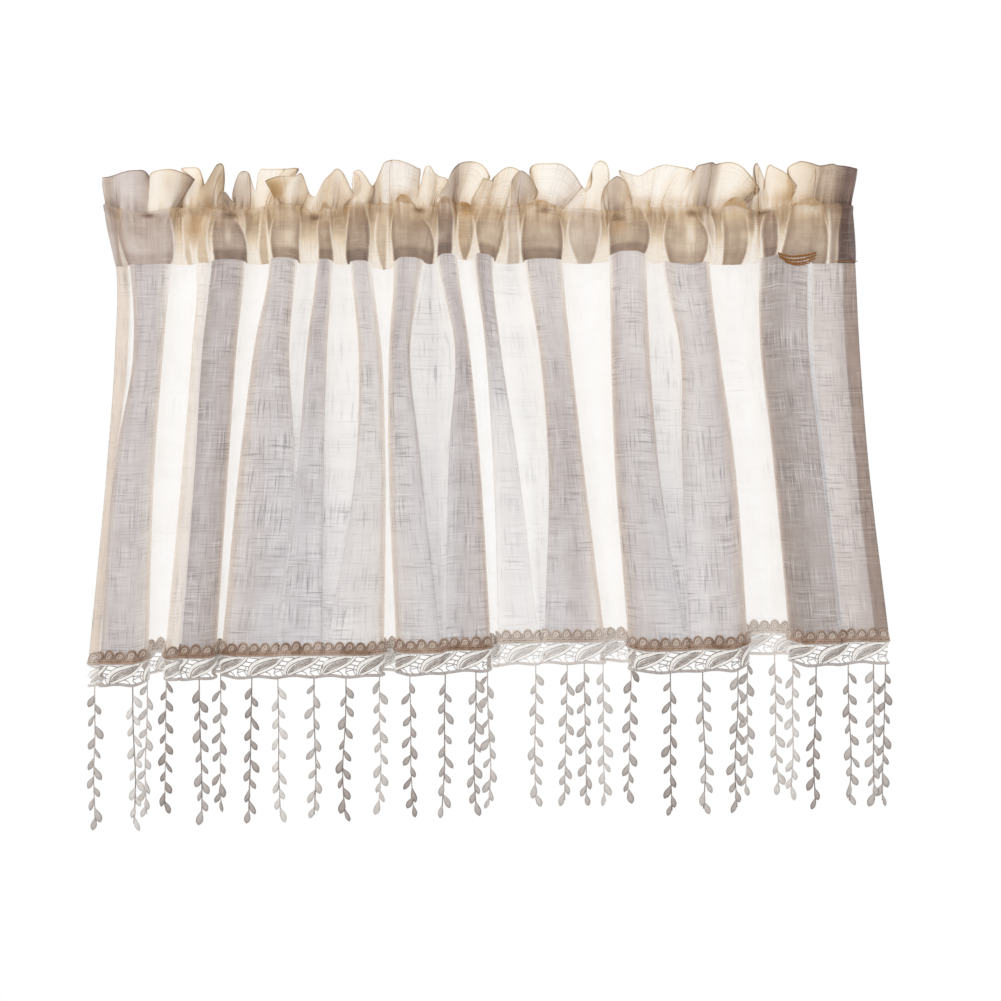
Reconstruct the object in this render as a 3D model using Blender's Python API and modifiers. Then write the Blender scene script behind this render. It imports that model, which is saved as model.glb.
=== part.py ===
"""Cafe curtain: a gathered rod-pocket heading, a sheer folded panel, a looped
braid, a lace band and a fringe of leaf tassels.

The origin is the middle of the top edge. +Z is up, and -Y is towards the room.
Every sheet is cut flat first: s runs along the cloth and the fold tables say
where each stretch of it hangs.
"""

import math

import bmesh
import bpy
import numpy as np

MM = 0.001

# Driving sizes, in millimetres
CLOTH = 1.4  # thickness of a single sheet
DOUBLE_CLOTH = 1.8  # thickness where two layers are sewn together
GAP = 0.3  # between neighbouring pieces
BRAID_LOOP = 10.7  # pitch of the braid's loops along the hem
COLUMN_PITCH = 10.7  # of the cloth's columns along the flat cloth
BRAID_TALL = 13.0
BRAID_DIP = 3.2  # how far the braid's edge dips between two loops
BRAID_THICK = 1.7
BRAID_OFF = 0.5  # from the cloth's face: a little over GAP, for the folds' corners
PANEL_ROWS = (0.0, 0.12, 0.28, 0.48, 0.72, 1.0)  # shares of the drop with a row of points
LACE_TALL = 18.0
LACE_THICK = 1.2
LACE_OFF = 1.0  # below the cloth's hem, because their columns differ
LACE_REPEAT = 36.4
LACE_COLUMNS = (0.0, 0.40, 0.78)  # of a repeat: two for the leaf, one for the ladder
LACE_ROWS = (0.0, 3.4, 8.2, 10.2, 15.0, LACE_TALL)
LADDER_ROWS = (1, 3)  # the rows whose ladder column is open
LACE_LEAN = 0.55  # sideways, per height
CORD_TALL = 2.6  # the cord along the lace's foot
CORD_THICK = 2.0
CORD_OFF = 0.5  # below the lace
TASSEL_PLACES = (  # along the cloth
    7, 59, 80, 109, 177, 219, 271, 306, 340, 396, 431, 483, 539, 562, 585,
    642, 704, 715, 730, 782, 841, 903, 932, 975, 996, 1021, 1058, 1102, 1125, 1136)
TASSEL_DROP = 137.0
LEAVES = 12
LEAF_LONG = 13.5
LEAF_FOOT = 8.8  # of a leaf, along the stem
LEAF_PITCH = 10.4
FIRST_LEAF = 8.0  # below the edge cord
ROOT_UP = 1.3  # how far a tassel's stem reaches into the edge cord
LEAF_LEAN = math.radians(33)
STEM_WIDE = 1.7
TASSEL_THICK = 1.5
STITCH_ROW = -45.0  # height of the upper stitch row, below the top edge
POCKET_FRONT = -13.0  # the flattest part of the pocket's front wall
POCKET_BACK = 13.0
TUCK_RATIO = 0.30  # how far a fold's walls turn in behind it, per depth
TUCK_FROM = 10.0
TUCK_MOST = 0.32  # of the fold's width
TUCK_GROWS = 70.0  # over this drop below the seam, because no wall turns in at the pocket
POCKET_SLANT = 1.2  # how far a fold's wall leans outwards there, and where a fold is shallow

# Heights of the levels that the tables give, below the top edge
LEVELS = {"ruffle": 0.0, "row": -45.0, "seam": -105.0, "upper": -190.0,
          "middle": -290.0, "hem": -490.0}

# Left and right edge of each fold at each level, from the centre line
EDGE_COLUMNS = ("fold", "ruffle", "row", "seam", "upper", "middle", "hem")
EDGES = (
    ("side_left", (-381, -370), (-379, -369), (-368, -357), (-369, -356), (-376, -367), (-395, -385)),
    ("a", (-366, -294), (-365, -307), (-353, -313), (-349, -320), (-366, -328), (-382, -335)),
    ("b_edge", (-286, -260), (-301, -275), (-289, -275), (-293, -283), (-301, -288), (-319, -304)),
    ("b", (-249, -226), (-269, -237), (-271, -239), (-280, -247), (-286, -254), (-301, -267)),
    ("c", (-221, -186), (-217, -184), (-214, -187), (-229, -194), (-242, -189), (-262, -208)),
    ("d", (-159, -140), (-166, -151), (-167, -152), (-177, -157), (-184, -160), (-202, -162)),
    ("e", (-134, -114), (-138, -115), (-134, -113), (-126, -103), (-127, -99), (-156, -100)),
    ("f", (-104, -67), (-93, -55), (-90, -62), (-95, -74), (-96, -65), (-88, -44)),
    ("g", (-61, -46), (-48, -31), (-47, -28), (-30, -16), (-35, -6), (-38, 6)),
    ("h", (4, 30), (-11, 18), (-10, 8), (0, 15), (7, 30), (14, 53)),
    ("i", (38, 98), (36, 76), (40, 77), (53, 85), (62, 96), (60, 120)),
    ("j", (124, 150), (122, 163), (124, 161), (125, 163), (128, 170), (143, 198)),
    ("k", (155, 206), (178, 218), (177, 223), (193, 233), (195, 247), (204, 262)),
    ("l", (280, 322), (275, 323), (274, 321), (274, 321), (285, 331), (303, 351)),
    ("side_right", (333, 371), (331, 365), (327, 368), (327, 372), (337, 379), (357, 401)),
)

# How far each fold stands forward (-) at the seam and at the hem, how far the
# cloth to its right goes back (+) at the seam, middle and hem, and the heights of
# the fold and of that cloth at the ruffle's top, the pocket's seam and the hem
SHAPE_COLUMNS = ("fold", "front_seam", "front_hem", "back_seam", "back_middle", "back_hem",
                 "top", "notch", "seam", "seam_back", "hem", "hem_back")
SHAPES = (
    ("side_left", -3, -7, 1, -3, -4, -18, -17, -107, -106, -504, -503),
    ("a", -19, -20, 9, 12, 13, -13, -24, -105, -104, -502, -491),
    ("b_edge", -7, -14, -2, -8, -11, -5, -20, -104, -104, -498, -496),
    ("b", -18, -21, 8, 8, 6, -11, -14, -102, -104, -496, -491),
    ("c", -17, -22, 8, -9, -21, -7, -34, -100, -104, -494, -494),
    ("d", -15, -23, 9, -7, -21, -11, -27, -101, -104, -493, -493),
    ("e", -17, -23, 9, 9, 4, -7, -24, -103, -109, -493, -489),
    ("f", -19, -22, 5, -6, -20, -4, -20, -99, -104, -491, -490),
    ("g", -16, -20, 10, 9, 2, -9, -3, -96, -99, -488, -485),
    ("h", -11, -7, 9, 4, -3, -7, -22, -94, -103, -482, -481),
    ("i", -17, -9, 10, 13, 14, 0, -24, -100, -103, -481, -480),
    ("j", -20, -22, 8, -7, -21, -12, -12, -94, -103, -489, -488),
    ("k", -20, -23, 10, 13, 15, -5, -2, -103, -104, -487, -473),
    ("l", -18, -21, 2, -10, -18, -3, -8, -97, -102, -482, -481),
    ("side_right", -10, -15, -8, -12, -13, -6, -8, -105, -105, -480, -480),
)

SHEER_LINEN = (0.86, 0.82, 0.78)
HEADING_LINEN = (0.82, 0.74, 0.62)
GIMP_BROWN = (0.23, 0.16, 0.11)
LACE_WHITE = (0.90, 0.88, 0.85)
TASSEL_GREY = (0.62, 0.59, 0.57)


def clear_scene():
    for obj in list(bpy.data.objects):
        bpy.data.objects.remove(obj, do_unlink=True)


def make_collection(name):
    collection = bpy.data.collections.new(name)
    bpy.context.scene.collection.children.link(collection)
    return collection


def fabric(name, colour, roughness):
    material = bpy.data.materials.new(name)
    material.use_nodes = True
    shader = material.node_tree.nodes["Principled BSDF"]
    shader.inputs["Base Color"].default_value = (*colour, 1.0)
    shader.inputs["Roughness"].default_value = roughness
    shader.inputs["Metallic"].default_value = 0.0
    return material


def add_object(name, bm, collection, material):
    mesh = bpy.data.meshes.new(name)
    bm.to_mesh(mesh)
    bm.free()
    mesh.materials.append(material)
    obj = bpy.data.objects.new(name, mesh)
    collection.objects.link(obj)
    return obj


def between_levels(heights, values, z):
    """A smooth curve through one value for each level, read at height z."""
    heights = np.asarray(heights, float)
    values = np.asarray(values, float)
    slopes = np.gradient(values, heights, axis=0)
    i = int(np.clip(np.searchsorted(-heights, -z) - 1, 0, len(heights) - 2))
    step = heights[i + 1] - heights[i]
    u = (z - heights[i]) / step
    return ((2 * u**3 - 3 * u**2 + 1) * values[i] + (u**3 - 2 * u**2 + u) * step * slopes[i]
            + (3 * u**2 - 2 * u**3) * values[i + 1] + (u**3 - u**2) * step * slopes[i + 1])


class Cloth:
    """Where each point of the flat cloth hangs. A fold has six stations, from neck
    to neck, and the cloth behind the folds has one."""

    def __init__(self):
        names = list(LEVELS)
        self.heights = [LEVELS[n] for n in names]
        self.left = np.array([[row[1 + k][0] for row in EDGES] for k in range(len(names))], float)
        self.right = np.array([[row[1 + k][1] for row in EDGES] for k in range(len(names))], float)
        self.shape = {column: np.array([row[k] for row in SHAPES], float)
                      for k, column in enumerate(SHAPE_COLUMNS) if k}
        self.station_s = self.measure()
        self.width = self.station_s[-1]
        # The trim doesn't stretch, so its repeats are counted along the hem as it hangs
        self.hem_s = np.linspace(0.0, self.width, 1600)
        steps = np.diff(self.section(LEVELS["hem"], self.hem_s)[0], axis=0)
        self.hem_along = np.concatenate([[0.0], np.cumsum(np.hypot(steps[:, 0], steps[:, 1]))])
        self.hem_long = self.hem_along[-1]

    def depths(self, z):
        """Front and back of each fold at this height."""
        shape = self.shape
        front_heights = (LEVELS["seam"], LEVELS["hem"])
        share = np.clip((z - front_heights[0]) / (front_heights[1] - front_heights[0]), 0, 1)
        front = shape["front_seam"] * (1 - share) + shape["front_hem"] * share
        back_heights = (LEVELS["seam"], LEVELS["middle"], LEVELS["hem"])
        backs = [shape["back_seam"], shape["back_middle"], shape["back_hem"]]
        if z > LEVELS["seam"]:
            return front, shape["back_seam"]
        return front, between_levels(back_heights, backs, z)

    def stations(self, z):
        """The section's stations at this height: rows of x and y."""
        left = between_levels(self.heights, self.left, z)
        right = between_levels(self.heights, self.right, z)
        front, back = self.depths(z)
        grown = float(np.clip((LEVELS["seam"] - z) / TUCK_GROWS, 0, 1))
        points = []
        last = len(left) - 1
        for i in range(last + 1):
            wide = right[i] - left[i]
            behind_left = back[i - 1] if i else front[i]
            behind_right = back[i] if i < last else front[i]
            tuck_left, tuck_right = (
                min(TUCK_RATIO * max(0.0, deep - TUCK_FROM), TUCK_MOST * wide) * grown
                - POCKET_SLANT * max(1 - grown, min(1.0, 1 - deep / TUCK_FROM))
                for deep in (behind_left - front[i], behind_right - front[i]))
            points += [
                (left[i] + tuck_left, behind_left * 0.8 + front[i] * 0.2),
                (left[i], behind_left * 0.4 + front[i] * 0.6),
                (left[i] + 0.28 * wide, front[i]),
                (right[i] - 0.28 * wide, front[i]),
                (right[i], behind_right * 0.4 + front[i] * 0.6),
                (right[i] - tuck_right, behind_right * 0.8 + front[i] * 0.2),
            ]
            if i < last:
                points.append(((right[i] + left[i + 1]) / 2, back[i]))
        # The cloth's two side edges end at the fold's edge, without a neck
        return np.array(points[1:-1])

    def per_station(self, fold_values, back_values):
        """One value for each station, from the folds' values and the cloth's behind."""
        values = []
        last = len(fold_values) - 1
        for i in range(last + 1):
            before = back_values[i - 1] if i else fold_values[i]
            after = back_values[i] if i < last else fold_values[i]
            fold = fold_values[i]
            values += [before * 0.8 + fold * 0.2, before * 0.4 + fold * 0.6, fold, fold,
                       after * 0.4 + fold * 0.6, after * 0.8 + fold * 0.2]
            if i < last:
                values.append(back_values[i])
        return np.array(values[1:-1])

    def measure(self):
        """How far along the flat cloth each station lies: the mean of its levels."""
        lengths = []
        for name in ("row", "seam", "upper", "middle", "hem"):
            steps = np.diff(self.stations(LEVELS[name]), axis=0)
            lengths.append(np.hypot(steps[:, 0], steps[:, 1]))
        along = np.concatenate([[0.0], np.cumsum(np.mean(lengths, axis=0))])
        return along

    def spread(self, stations, s):
        """A smooth curve through the stations, read at each s."""
        at = self.station_s
        slopes = np.gradient(stations, at, axis=0)
        i = np.clip(np.searchsorted(at, s, side="right") - 1, 0, len(at) - 2)
        step = at[i + 1] - at[i]
        u = (s - at[i]) / step
        if stations.ndim == 2:
            u, step = u[:, None], step[:, None]
        return ((2 * u**3 - 3 * u**2 + 1) * stations[i]
                + (u**3 - 2 * u**2 + u) * step * slopes[i]
                + (3 * u**2 - 2 * u**3) * stations[i + 1]
                + (u**3 - u**2) * step * slopes[i + 1])

    def section(self, z, s):
        """Points of the cloth's middle at this height, and its front normals."""
        return self.with_normals(self.spread(self.stations(z), s))

    @staticmethod
    def with_normals(points):
        """The points and their front normals, longer at a corner to keep an offset even."""
        steps = np.diff(points, axis=0)
        steps /= np.linalg.norm(steps, axis=1)[:, None]
        along = np.vstack([steps[:1], steps]) + np.vstack([steps, steps[-1:]])
        size = np.maximum((along**2).sum(axis=1), 1.6)[:, None]
        return points, np.stack([along[:, 1], -along[:, 0]], axis=1) * 2 / size

    def column(self, fold_column, back_column, s):
        """A height from the table, such as the hem's, read at each s."""
        values = self.per_station(self.shape[fold_column], self.shape[back_column])
        return np.interp(s, self.station_s, values)


def hanging(cloth, s, share):
    """Rows of points on the panel: share is 0 at the seam and 1 at the hem."""
    level = LEVELS["seam"] + share * (LEVELS["hem"] - LEVELS["seam"])
    top = cloth.column("seam", "seam_back", s) - GAP
    foot = cloth.column("hem", "hem_back", s)
    points, normals = cloth.section(level, s)
    return points, normals, top + share * (foot - top)


def grid_sheet(columns, rows, place):
    """A grid whose vertex (i, j) is moved to place[j][i], in millimetres."""
    bm = bmesh.new()
    bmesh.ops.create_grid(bm, x_segments=columns - 1, y_segments=rows - 1, size=1.0)
    for vert in bm.verts:
        i = round((vert.co.x + 1) / 2 * (columns - 1))
        j = round((vert.co.y + 1) / 2 * (rows - 1))
        vert.co = [value * MM for value in place[j][i]]
    return bm


def add_solidify(obj, thick):
    solidify = obj.modifiers.new("Thickness", "SOLIDIFY")
    solidify.thickness = thick * MM
    solidify.offset = 0.0


def rows_of(points, z):
    """Joins plan points and heights into rows of x, y and z."""
    return np.column_stack([points, np.broadcast_to(z, len(points))])


def make_panel(cloth, s, collection, material):
    place = []
    for share in PANEL_ROWS:
        points, _, z = hanging(cloth, s, share)
        place.append(rows_of(points, z))
    panel = add_object("panel", grid_sheet(len(s), len(place), place), collection, material)
    add_solidify(panel, CLOTH)
    return panel


def closed_rings(columns, ring):
    """A closed body lofted along the cloth through rings of points, with end caps."""
    count = len(ring)
    bm = grid_sheet(columns, count + 1, [*ring, ring[0]])
    bmesh.ops.remove_doubles(bm, verts=bm.verts, dist=1e-7)
    bmesh.ops.holes_fill(bm, edges=[e for e in bm.edges if e.is_boundary])
    bm.normal_update()
    bmesh.ops.triangulate(bm, faces=[f for f in bm.faces if len(f.verts) > 4])
    bmesh.ops.recalc_face_normals(bm, faces=bm.faces)
    if bm.calc_volume(signed=True) < 0:
        bmesh.ops.reverse_faces(bm, faces=bm.faces)
    return bm


def pocket_walls(cloth, s, share):
    """Middles of the pocket's front and back wall: share is 0 at the upper stitch
    row and 1 at the seam. Between them a rod would part the walls."""
    level = STITCH_ROW + share * (LEVELS["seam"] - STITCH_ROW)
    points, _ = cloth.section(level, s)
    part = min(1.0, math.sin(math.pi * share) * 1.5)
    front, back = points.copy(), points.copy()
    front[:, 1] += part * (np.minimum(points[:, 1] * 0.55 - 6.0, POCKET_FRONT - 2.0) - points[:, 1])
    back[:, 1] += part * (np.maximum(points[:, 1] * 0.35 + 6.0, POCKET_BACK) - points[:, 1])
    return front, back


def make_heading(cloth, s, collection, cutters, material):
    half = DOUBLE_CLOTH / 2
    seam = cloth.column("seam", "seam_back", s)
    top = cloth.column("top", "notch", s)
    front_rows, back_rows, inside_front, inside_back = [], [], [], []
    for share in (1.0, 0.0):
        level = STITCH_ROW * (1 - share)
        points, _ = cloth.section(level, s)
        points[:, 1] *= 1 + 0.25 * share
        points, normals = cloth.with_normals(points)
        z = STITCH_ROW + share * (top - STITCH_ROW)
        front_rows.append(rows_of(points + normals * half, z))
        back_rows.append(rows_of(points - normals * half, z))
    for share in (0.25, 0.75):
        front, back = (cloth.with_normals(wall) for wall in pocket_walls(cloth, s, share))
        z = STITCH_ROW + share * (seam - STITCH_ROW)
        front_rows.append(rows_of(front[0] + front[1] * half, z))
        back_rows.append(rows_of(back[0] - back[1] * half, z))
        inside_front.append(rows_of(front[0] - front[1] * half, z))
        inside_back.append(rows_of(back[0] + back[1] * half, z))
    points, normals = cloth.section(LEVELS["seam"], s)
    front_rows.append(rows_of(points + normals * half, seam))
    back_rows.append(rows_of(points - normals * half, seam))
    heading = add_object("heading", closed_rings(len(s), [*front_rows, *back_rows[::-1]]),
                         collection, material)
    row_points, _ = cloth.section(STITCH_ROW, s)
    tunnel = [rows_of(row_points, STITCH_ROW - 2.5), *inside_front,
              rows_of(points, seam + 2.5), *inside_back[::-1]]
    for ring in tunnel:
        ring[0, 0] -= 8.0
        ring[-1, 0] += 8.0
    cutter = add_object("pocket_tunnel", closed_rings(len(s), tunnel), cutters, material)
    cutter.hide_render = True
    cutter.display_type = "WIRE"
    cut = heading.modifiers.new("Rod pocket", "BOOLEAN")
    cut.operation = "DIFFERENCE"
    cut.object = cutter
    return heading


def make_braid(cloth, s, collection, material):
    """Looped gimp in front of the hem: its edge dips between the middles of two loops."""
    halves = np.arange(1, 2 * round(cloth.hem_long / BRAID_LOOP))
    pitch = cloth.hem_long / ((len(halves) + 1) / 2)
    loops = np.interp(halves * pitch / 2, cloth.hem_along, cloth.hem_s)
    loops = loops[np.abs(loops[:, None] - s[None, :]).min(axis=1) > 0.8]
    fine = np.sort(np.concatenate([s, loops]))
    phase = np.interp(fine, cloth.hem_s, cloth.hem_along) / pitch
    dip = BRAID_DIP * np.abs(2 * (phase % 1.0) - 1)
    near = CLOTH / 2 + BRAID_OFF
    far = near + BRAID_THICK
    above, _, above_z = hanging(cloth, s, PANEL_ROWS[-2])
    foot, _, foot_z = hanging(cloth, s, PANEL_ROWS[-1])

    def edge(up, off):
        """A row of the braid on the flat stretch of cloth between the last two rows."""
        part = (up / (above_z - foot_z))[:, None]
        points, normals = cloth.with_normals(foot + part * (above - foot))
        flat = points + normals * off
        x = np.interp(fine, s, flat[:, 0])
        y = np.interp(fine, s, flat[:, 1])
        return np.column_stack([x, y, np.interp(fine, s, foot_z) + up])

    top = edge(BRAID_TALL, near), edge(BRAID_TALL, far)
    for rows in top:
        rows[:, 2] -= dip
    ring = [top[1], edge(0.0, far), edge(0.0, near), top[0]]
    return add_object("braid", closed_rings(len(fine), ring), collection, material)


def lace_stops(cloth, down):
    """Where the lace's slanted columns cross a height, along the flat cloth."""
    count = round(cloth.hem_long / LACE_REPEAT)
    repeat = cloth.hem_long / count
    at = np.array([(k + part) * repeat for k in range(count) for part in LACE_COLUMNS] + [cloth.hem_long])
    at[1:-1] = np.clip(at[1:-1] + (LACE_TALL / 2 - down) * LACE_LEAN, 1.0, cloth.hem_long - 1.0)
    return np.interp(at, cloth.hem_along, cloth.hem_s)


def below_hem(cloth, s, at, down):
    """Points of the trim at each place along the cloth, this far below the hem."""
    points, _, z = hanging(cloth, s, 1.0)
    x = np.interp(at, s, points[:, 0])
    y = np.interp(at, s, points[:, 1])
    return np.column_stack([x, y, np.interp(at, s, z) - down])


def make_lace(cloth, s, collection, material):
    """A band with slanted leaves and two ladder openings in each repeat."""
    place = [below_hem(cloth, s, lace_stops(cloth, down), LACE_OFF + down) for down in LACE_ROWS]
    bm = grid_sheet(len(place[0]), len(place), place)
    columns = len(place[0]) - 1
    open_faces = []
    for k, face in enumerate(bm.faces):
        column, row = k % columns, k // columns
        if column % len(LACE_COLUMNS) == len(LACE_COLUMNS) - 1 and row in LADDER_ROWS:
            open_faces.append(face)
    bmesh.ops.delete(bm, geom=open_faces, context="FACES")
    lace = add_object("lace", bm, collection, material)
    add_solidify(lace, LACE_THICK)
    return lace


def tassel_outline(k):
    """Points round a tassel, from its root down its right side and up its left.
    Leaves grow from the stem by turns, and each is a point with a broad foot."""
    half = STEM_WIDE / 2
    sides = {1: [(half, ROOT_UP)], -1: [(-half, ROOT_UP)]}
    for leaf in range(LEAVES):
        side = 1 if (leaf + k) % 2 else -1
        root = -FIRST_LEAF - leaf * LEAF_PITCH
        tip = (side * (half + LEAF_LONG * math.sin(LEAF_LEAN)), root - LEAF_LONG * math.cos(LEAF_LEAN))
        sides[side] += [(side * half, root), tip, (side * half, root - LEAF_FOOT)]
    sides[1].append((half, -TASSEL_DROP))
    sides[-1].append((-half, -TASSEL_DROP))
    return sides[1] + sides[-1][::-1]


def tassel_mesh(k, x, y, z):
    """One leaf tassel: its outline filled, thickened and swayed."""
    sway = 3.5 * math.sin(1.9 * k)
    bm = bmesh.new()
    verts = [bm.verts.new((px * MM, 0.0, pz * MM)) for px, pz in tassel_outline(k)]
    face = bm.faces.new(verts)
    face.normal_update()
    bmesh.ops.triangulate(bm, faces=[face])
    for vert in bm.verts:
        down = -vert.co.z / MM / TASSEL_DROP
        vert.co.x += (x + sway * math.sin(2.4 * down) * max(down, 0.0)) * MM
        vert.co.y += y * MM
        vert.co.z += z * MM
    bmesh.ops.recalc_face_normals(bm, faces=bm.faces)
    return bm


def make_fringe(cloth, s, collection, cutters, material):
    """The lace's edge cord with a tassel at each of TASSEL_PLACES."""
    stops = lace_stops(cloth, LACE_TALL)
    line = below_hem(cloth, s, stops, LACE_OFF + LACE_TALL + CORD_OFF)
    points, normals = cloth.with_normals(line[:, :2])
    front, back = points + normals * CORD_THICK / 2, points - normals * CORD_THICK / 2
    top, foot = line[:, 2], line[:, 2] - CORD_TALL
    ring = [rows_of(front, top), rows_of(front, foot), rows_of(back, foot), rows_of(back, top)]
    fringe = add_object("leaf_fringe", closed_rings(len(stops), ring), collection, material)
    for k, at in enumerate(TASSEL_PLACES):
        x, y, z = (float(np.interp(at, stops, values)) for values in (*points.T, foot))
        tassel = add_object(f"tassel_{k:02d}", tassel_mesh(k, x, y, z), cutters, material)
        tassel.hide_render = True
        tassel.display_type = "WIRE"
        add_solidify(tassel, TASSEL_THICK)
    join = fringe.modifiers.new("Tassels", "BOOLEAN")
    join.operation = "UNION"
    join.operand_type = "COLLECTION"
    join.collection = cutters
    return fringe


def main():
    clear_scene()
    parts = make_collection("cafe_curtain")
    cutters = make_collection("cutters")
    tassels = make_collection("tassels")
    cloth = Cloth()
    s = np.linspace(0.0, cloth.width, round(cloth.width / COLUMN_PITCH) + 1)
    linen = fabric("sheer_linen", SHEER_LINEN, 0.9)
    double_linen = fabric("heading_linen", HEADING_LINEN, 0.9)
    make_heading(cloth, s, parts, cutters, double_linen)
    make_panel(cloth, s, parts, linen)
    make_braid(cloth, s, parts, fabric("gimp_braid", GIMP_BROWN, 0.8))
    make_lace(cloth, s, parts, fabric("guipure_lace", LACE_WHITE, 0.85))
    make_fringe(cloth, s, parts, tassels, fabric("leaf_tassel", TASSEL_GREY, 0.85))


main()
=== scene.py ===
"""Looks of the cafe curtain: sheer slub linen gathered on a rod-pocket heading, a looped
gimp braid, a guipure lace band and strands of small cloth leaves.

The cloth is cut flat first. s runs along it in millimetres from its left edge, and the
fold tables say where each stretch hangs. The trim is drawn flat too, and then laid
along the hem.
"""

import math
from functools import partial

import bmesh
import bpy
import numpy as np
from mathutils import Matrix, Vector


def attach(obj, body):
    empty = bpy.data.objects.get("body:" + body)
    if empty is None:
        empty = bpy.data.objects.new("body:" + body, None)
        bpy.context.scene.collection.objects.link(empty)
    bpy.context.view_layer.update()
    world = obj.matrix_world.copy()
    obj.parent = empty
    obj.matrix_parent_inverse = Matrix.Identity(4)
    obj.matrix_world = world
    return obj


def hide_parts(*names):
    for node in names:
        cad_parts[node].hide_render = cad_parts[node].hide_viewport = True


MM = 0.001

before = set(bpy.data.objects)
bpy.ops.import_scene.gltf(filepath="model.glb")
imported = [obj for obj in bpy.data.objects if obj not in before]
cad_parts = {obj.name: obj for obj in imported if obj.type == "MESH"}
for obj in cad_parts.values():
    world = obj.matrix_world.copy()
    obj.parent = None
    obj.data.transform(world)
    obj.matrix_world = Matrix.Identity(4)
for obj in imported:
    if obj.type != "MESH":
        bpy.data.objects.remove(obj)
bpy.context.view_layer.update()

# Sizes in millimetres, as in the part's source
TUCK_RATIO = 0.30  # how far a fold's walls turn in behind it, per depth
TUCK_FROM = 10.0
TUCK_MOST = 0.32  # of the fold's width
TUCK_GROWS = 70.0  # over this drop below the seam
POCKET_SLANT = 1.2  # how far a fold's wall leans outwards at the pocket
FACE_INSET = 0.28  # of a fold's width: where its rounded side meets its face
SIDE_HEM = 11.0  # turned back along each side
BRAID_LOOP = 10.7
BRAID_TOP = 14.0  # above the hem
LACE_OFF = 1.0
LACE_TALL = 18.0
LACE_REPEAT = 36.4
EDGE_CORD_DOWN = 1.5  # from the lace's foot to the middle of its edge cord
TASSEL_DROP = 137.0
LEAVES = 13  # of each tassel
FIRST_LEAF = 9.4
LEAF_PITCH = 10.3
LEAF_LONG = 14.2
LEAF_HALF = 3.3  # of its width
LEAF_THICK = 0.6
STRAND_RADIUS = 0.62
TASSEL_PLACES = (  # along the cloth
    7, 59, 80, 109, 177, 219, 271, 306, 340, 396, 431, 483, 539, 562, 585,
    642, 704, 715, 730, 782, 841, 903, 932, 975, 996, 1021, 1058, 1102, 1125, 1136)

LEVELS = {"ruffle": 0.0, "row": -45.0, "seam": -105.0, "upper": -190.0,
          "middle": -290.0, "hem": -490.0}

# Left and right edge of each fold at each level, from the centre line
EDGES = (
    ("side_left", (-381, -370), (-379, -369), (-368, -357), (-369, -356), (-376, -367),
     (-395, -385)),
    ("a", (-366, -294), (-365, -307), (-353, -313), (-349, -320), (-366, -328), (-382, -335)),
    ("b_edge", (-286, -260), (-301, -275), (-289, -275), (-293, -283), (-301, -288), (-319, -304)),
    ("b", (-249, -226), (-269, -237), (-271, -239), (-280, -247), (-286, -254), (-301, -267)),
    ("c", (-221, -186), (-217, -184), (-214, -187), (-229, -194), (-242, -189), (-262, -208)),
    ("d", (-159, -140), (-166, -151), (-167, -152), (-177, -157), (-184, -160), (-202, -162)),
    ("e", (-134, -114), (-138, -115), (-134, -113), (-126, -103), (-127, -99), (-156, -100)),
    ("f", (-104, -67), (-93, -55), (-90, -62), (-95, -74), (-96, -65), (-88, -44)),
    ("g", (-61, -46), (-48, -31), (-47, -28), (-30, -16), (-35, -6), (-38, 6)),
    ("h", (4, 30), (-11, 18), (-10, 8), (0, 15), (7, 30), (14, 53)),
    ("i", (38, 98), (36, 76), (40, 77), (53, 85), (62, 96), (60, 120)),
    ("j", (124, 150), (122, 163), (124, 161), (125, 163), (128, 170), (143, 198)),
    ("k", (155, 206), (178, 218), (177, 223), (193, 233), (195, 247), (204, 262)),
    ("l", (280, 322), (275, 323), (274, 321), (274, 321), (285, 331), (303, 351)),
    ("side_right", (333, 371), (331, 365), (327, 368), (327, 372), (337, 379), (357, 401)),
)

# Depths of each fold (forwards is less) and of the cloth to its right, and heights of
# the seam and the hem on both
SHAPE_COLUMNS = ("fold", "front_seam", "front_hem", "back_seam", "back_middle", "back_hem",
                 "seam", "seam_back", "hem", "hem_back")
SHAPES = (
    ("side_left", -3, -7, 1, -3, -4, -107, -106, -504, -503),
    ("a", -19, -20, 9, 12, 13, -105, -104, -502, -491),
    ("b_edge", -7, -14, -2, -8, -11, -104, -104, -498, -496),
    ("b", -18, -21, 8, 8, 6, -102, -104, -496, -491),
    ("c", -17, -22, 8, -9, -21, -100, -104, -494, -494),
    ("d", -15, -23, 9, -7, -21, -101, -104, -493, -493),
    ("e", -17, -23, 9, 9, 4, -103, -109, -493, -489),
    ("f", -19, -22, 5, -6, -20, -99, -104, -491, -490),
    ("g", -16, -20, 10, 9, 2, -96, -99, -488, -485),
    ("h", -11, -7, 9, 4, -3, -94, -103, -482, -481),
    ("i", -17, -9, 10, 13, 14, -100, -103, -481, -480),
    ("j", -20, -22, 8, -7, -21, -94, -103, -489, -488),
    ("k", -20, -23, 10, 13, 15, -103, -104, -487, -473),
    ("l", -18, -21, 2, -10, -18, -97, -102, -482, -481),
    ("side_right", -10, -15, -8, -12, -13, -105, -105, -480, -480),
)

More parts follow.
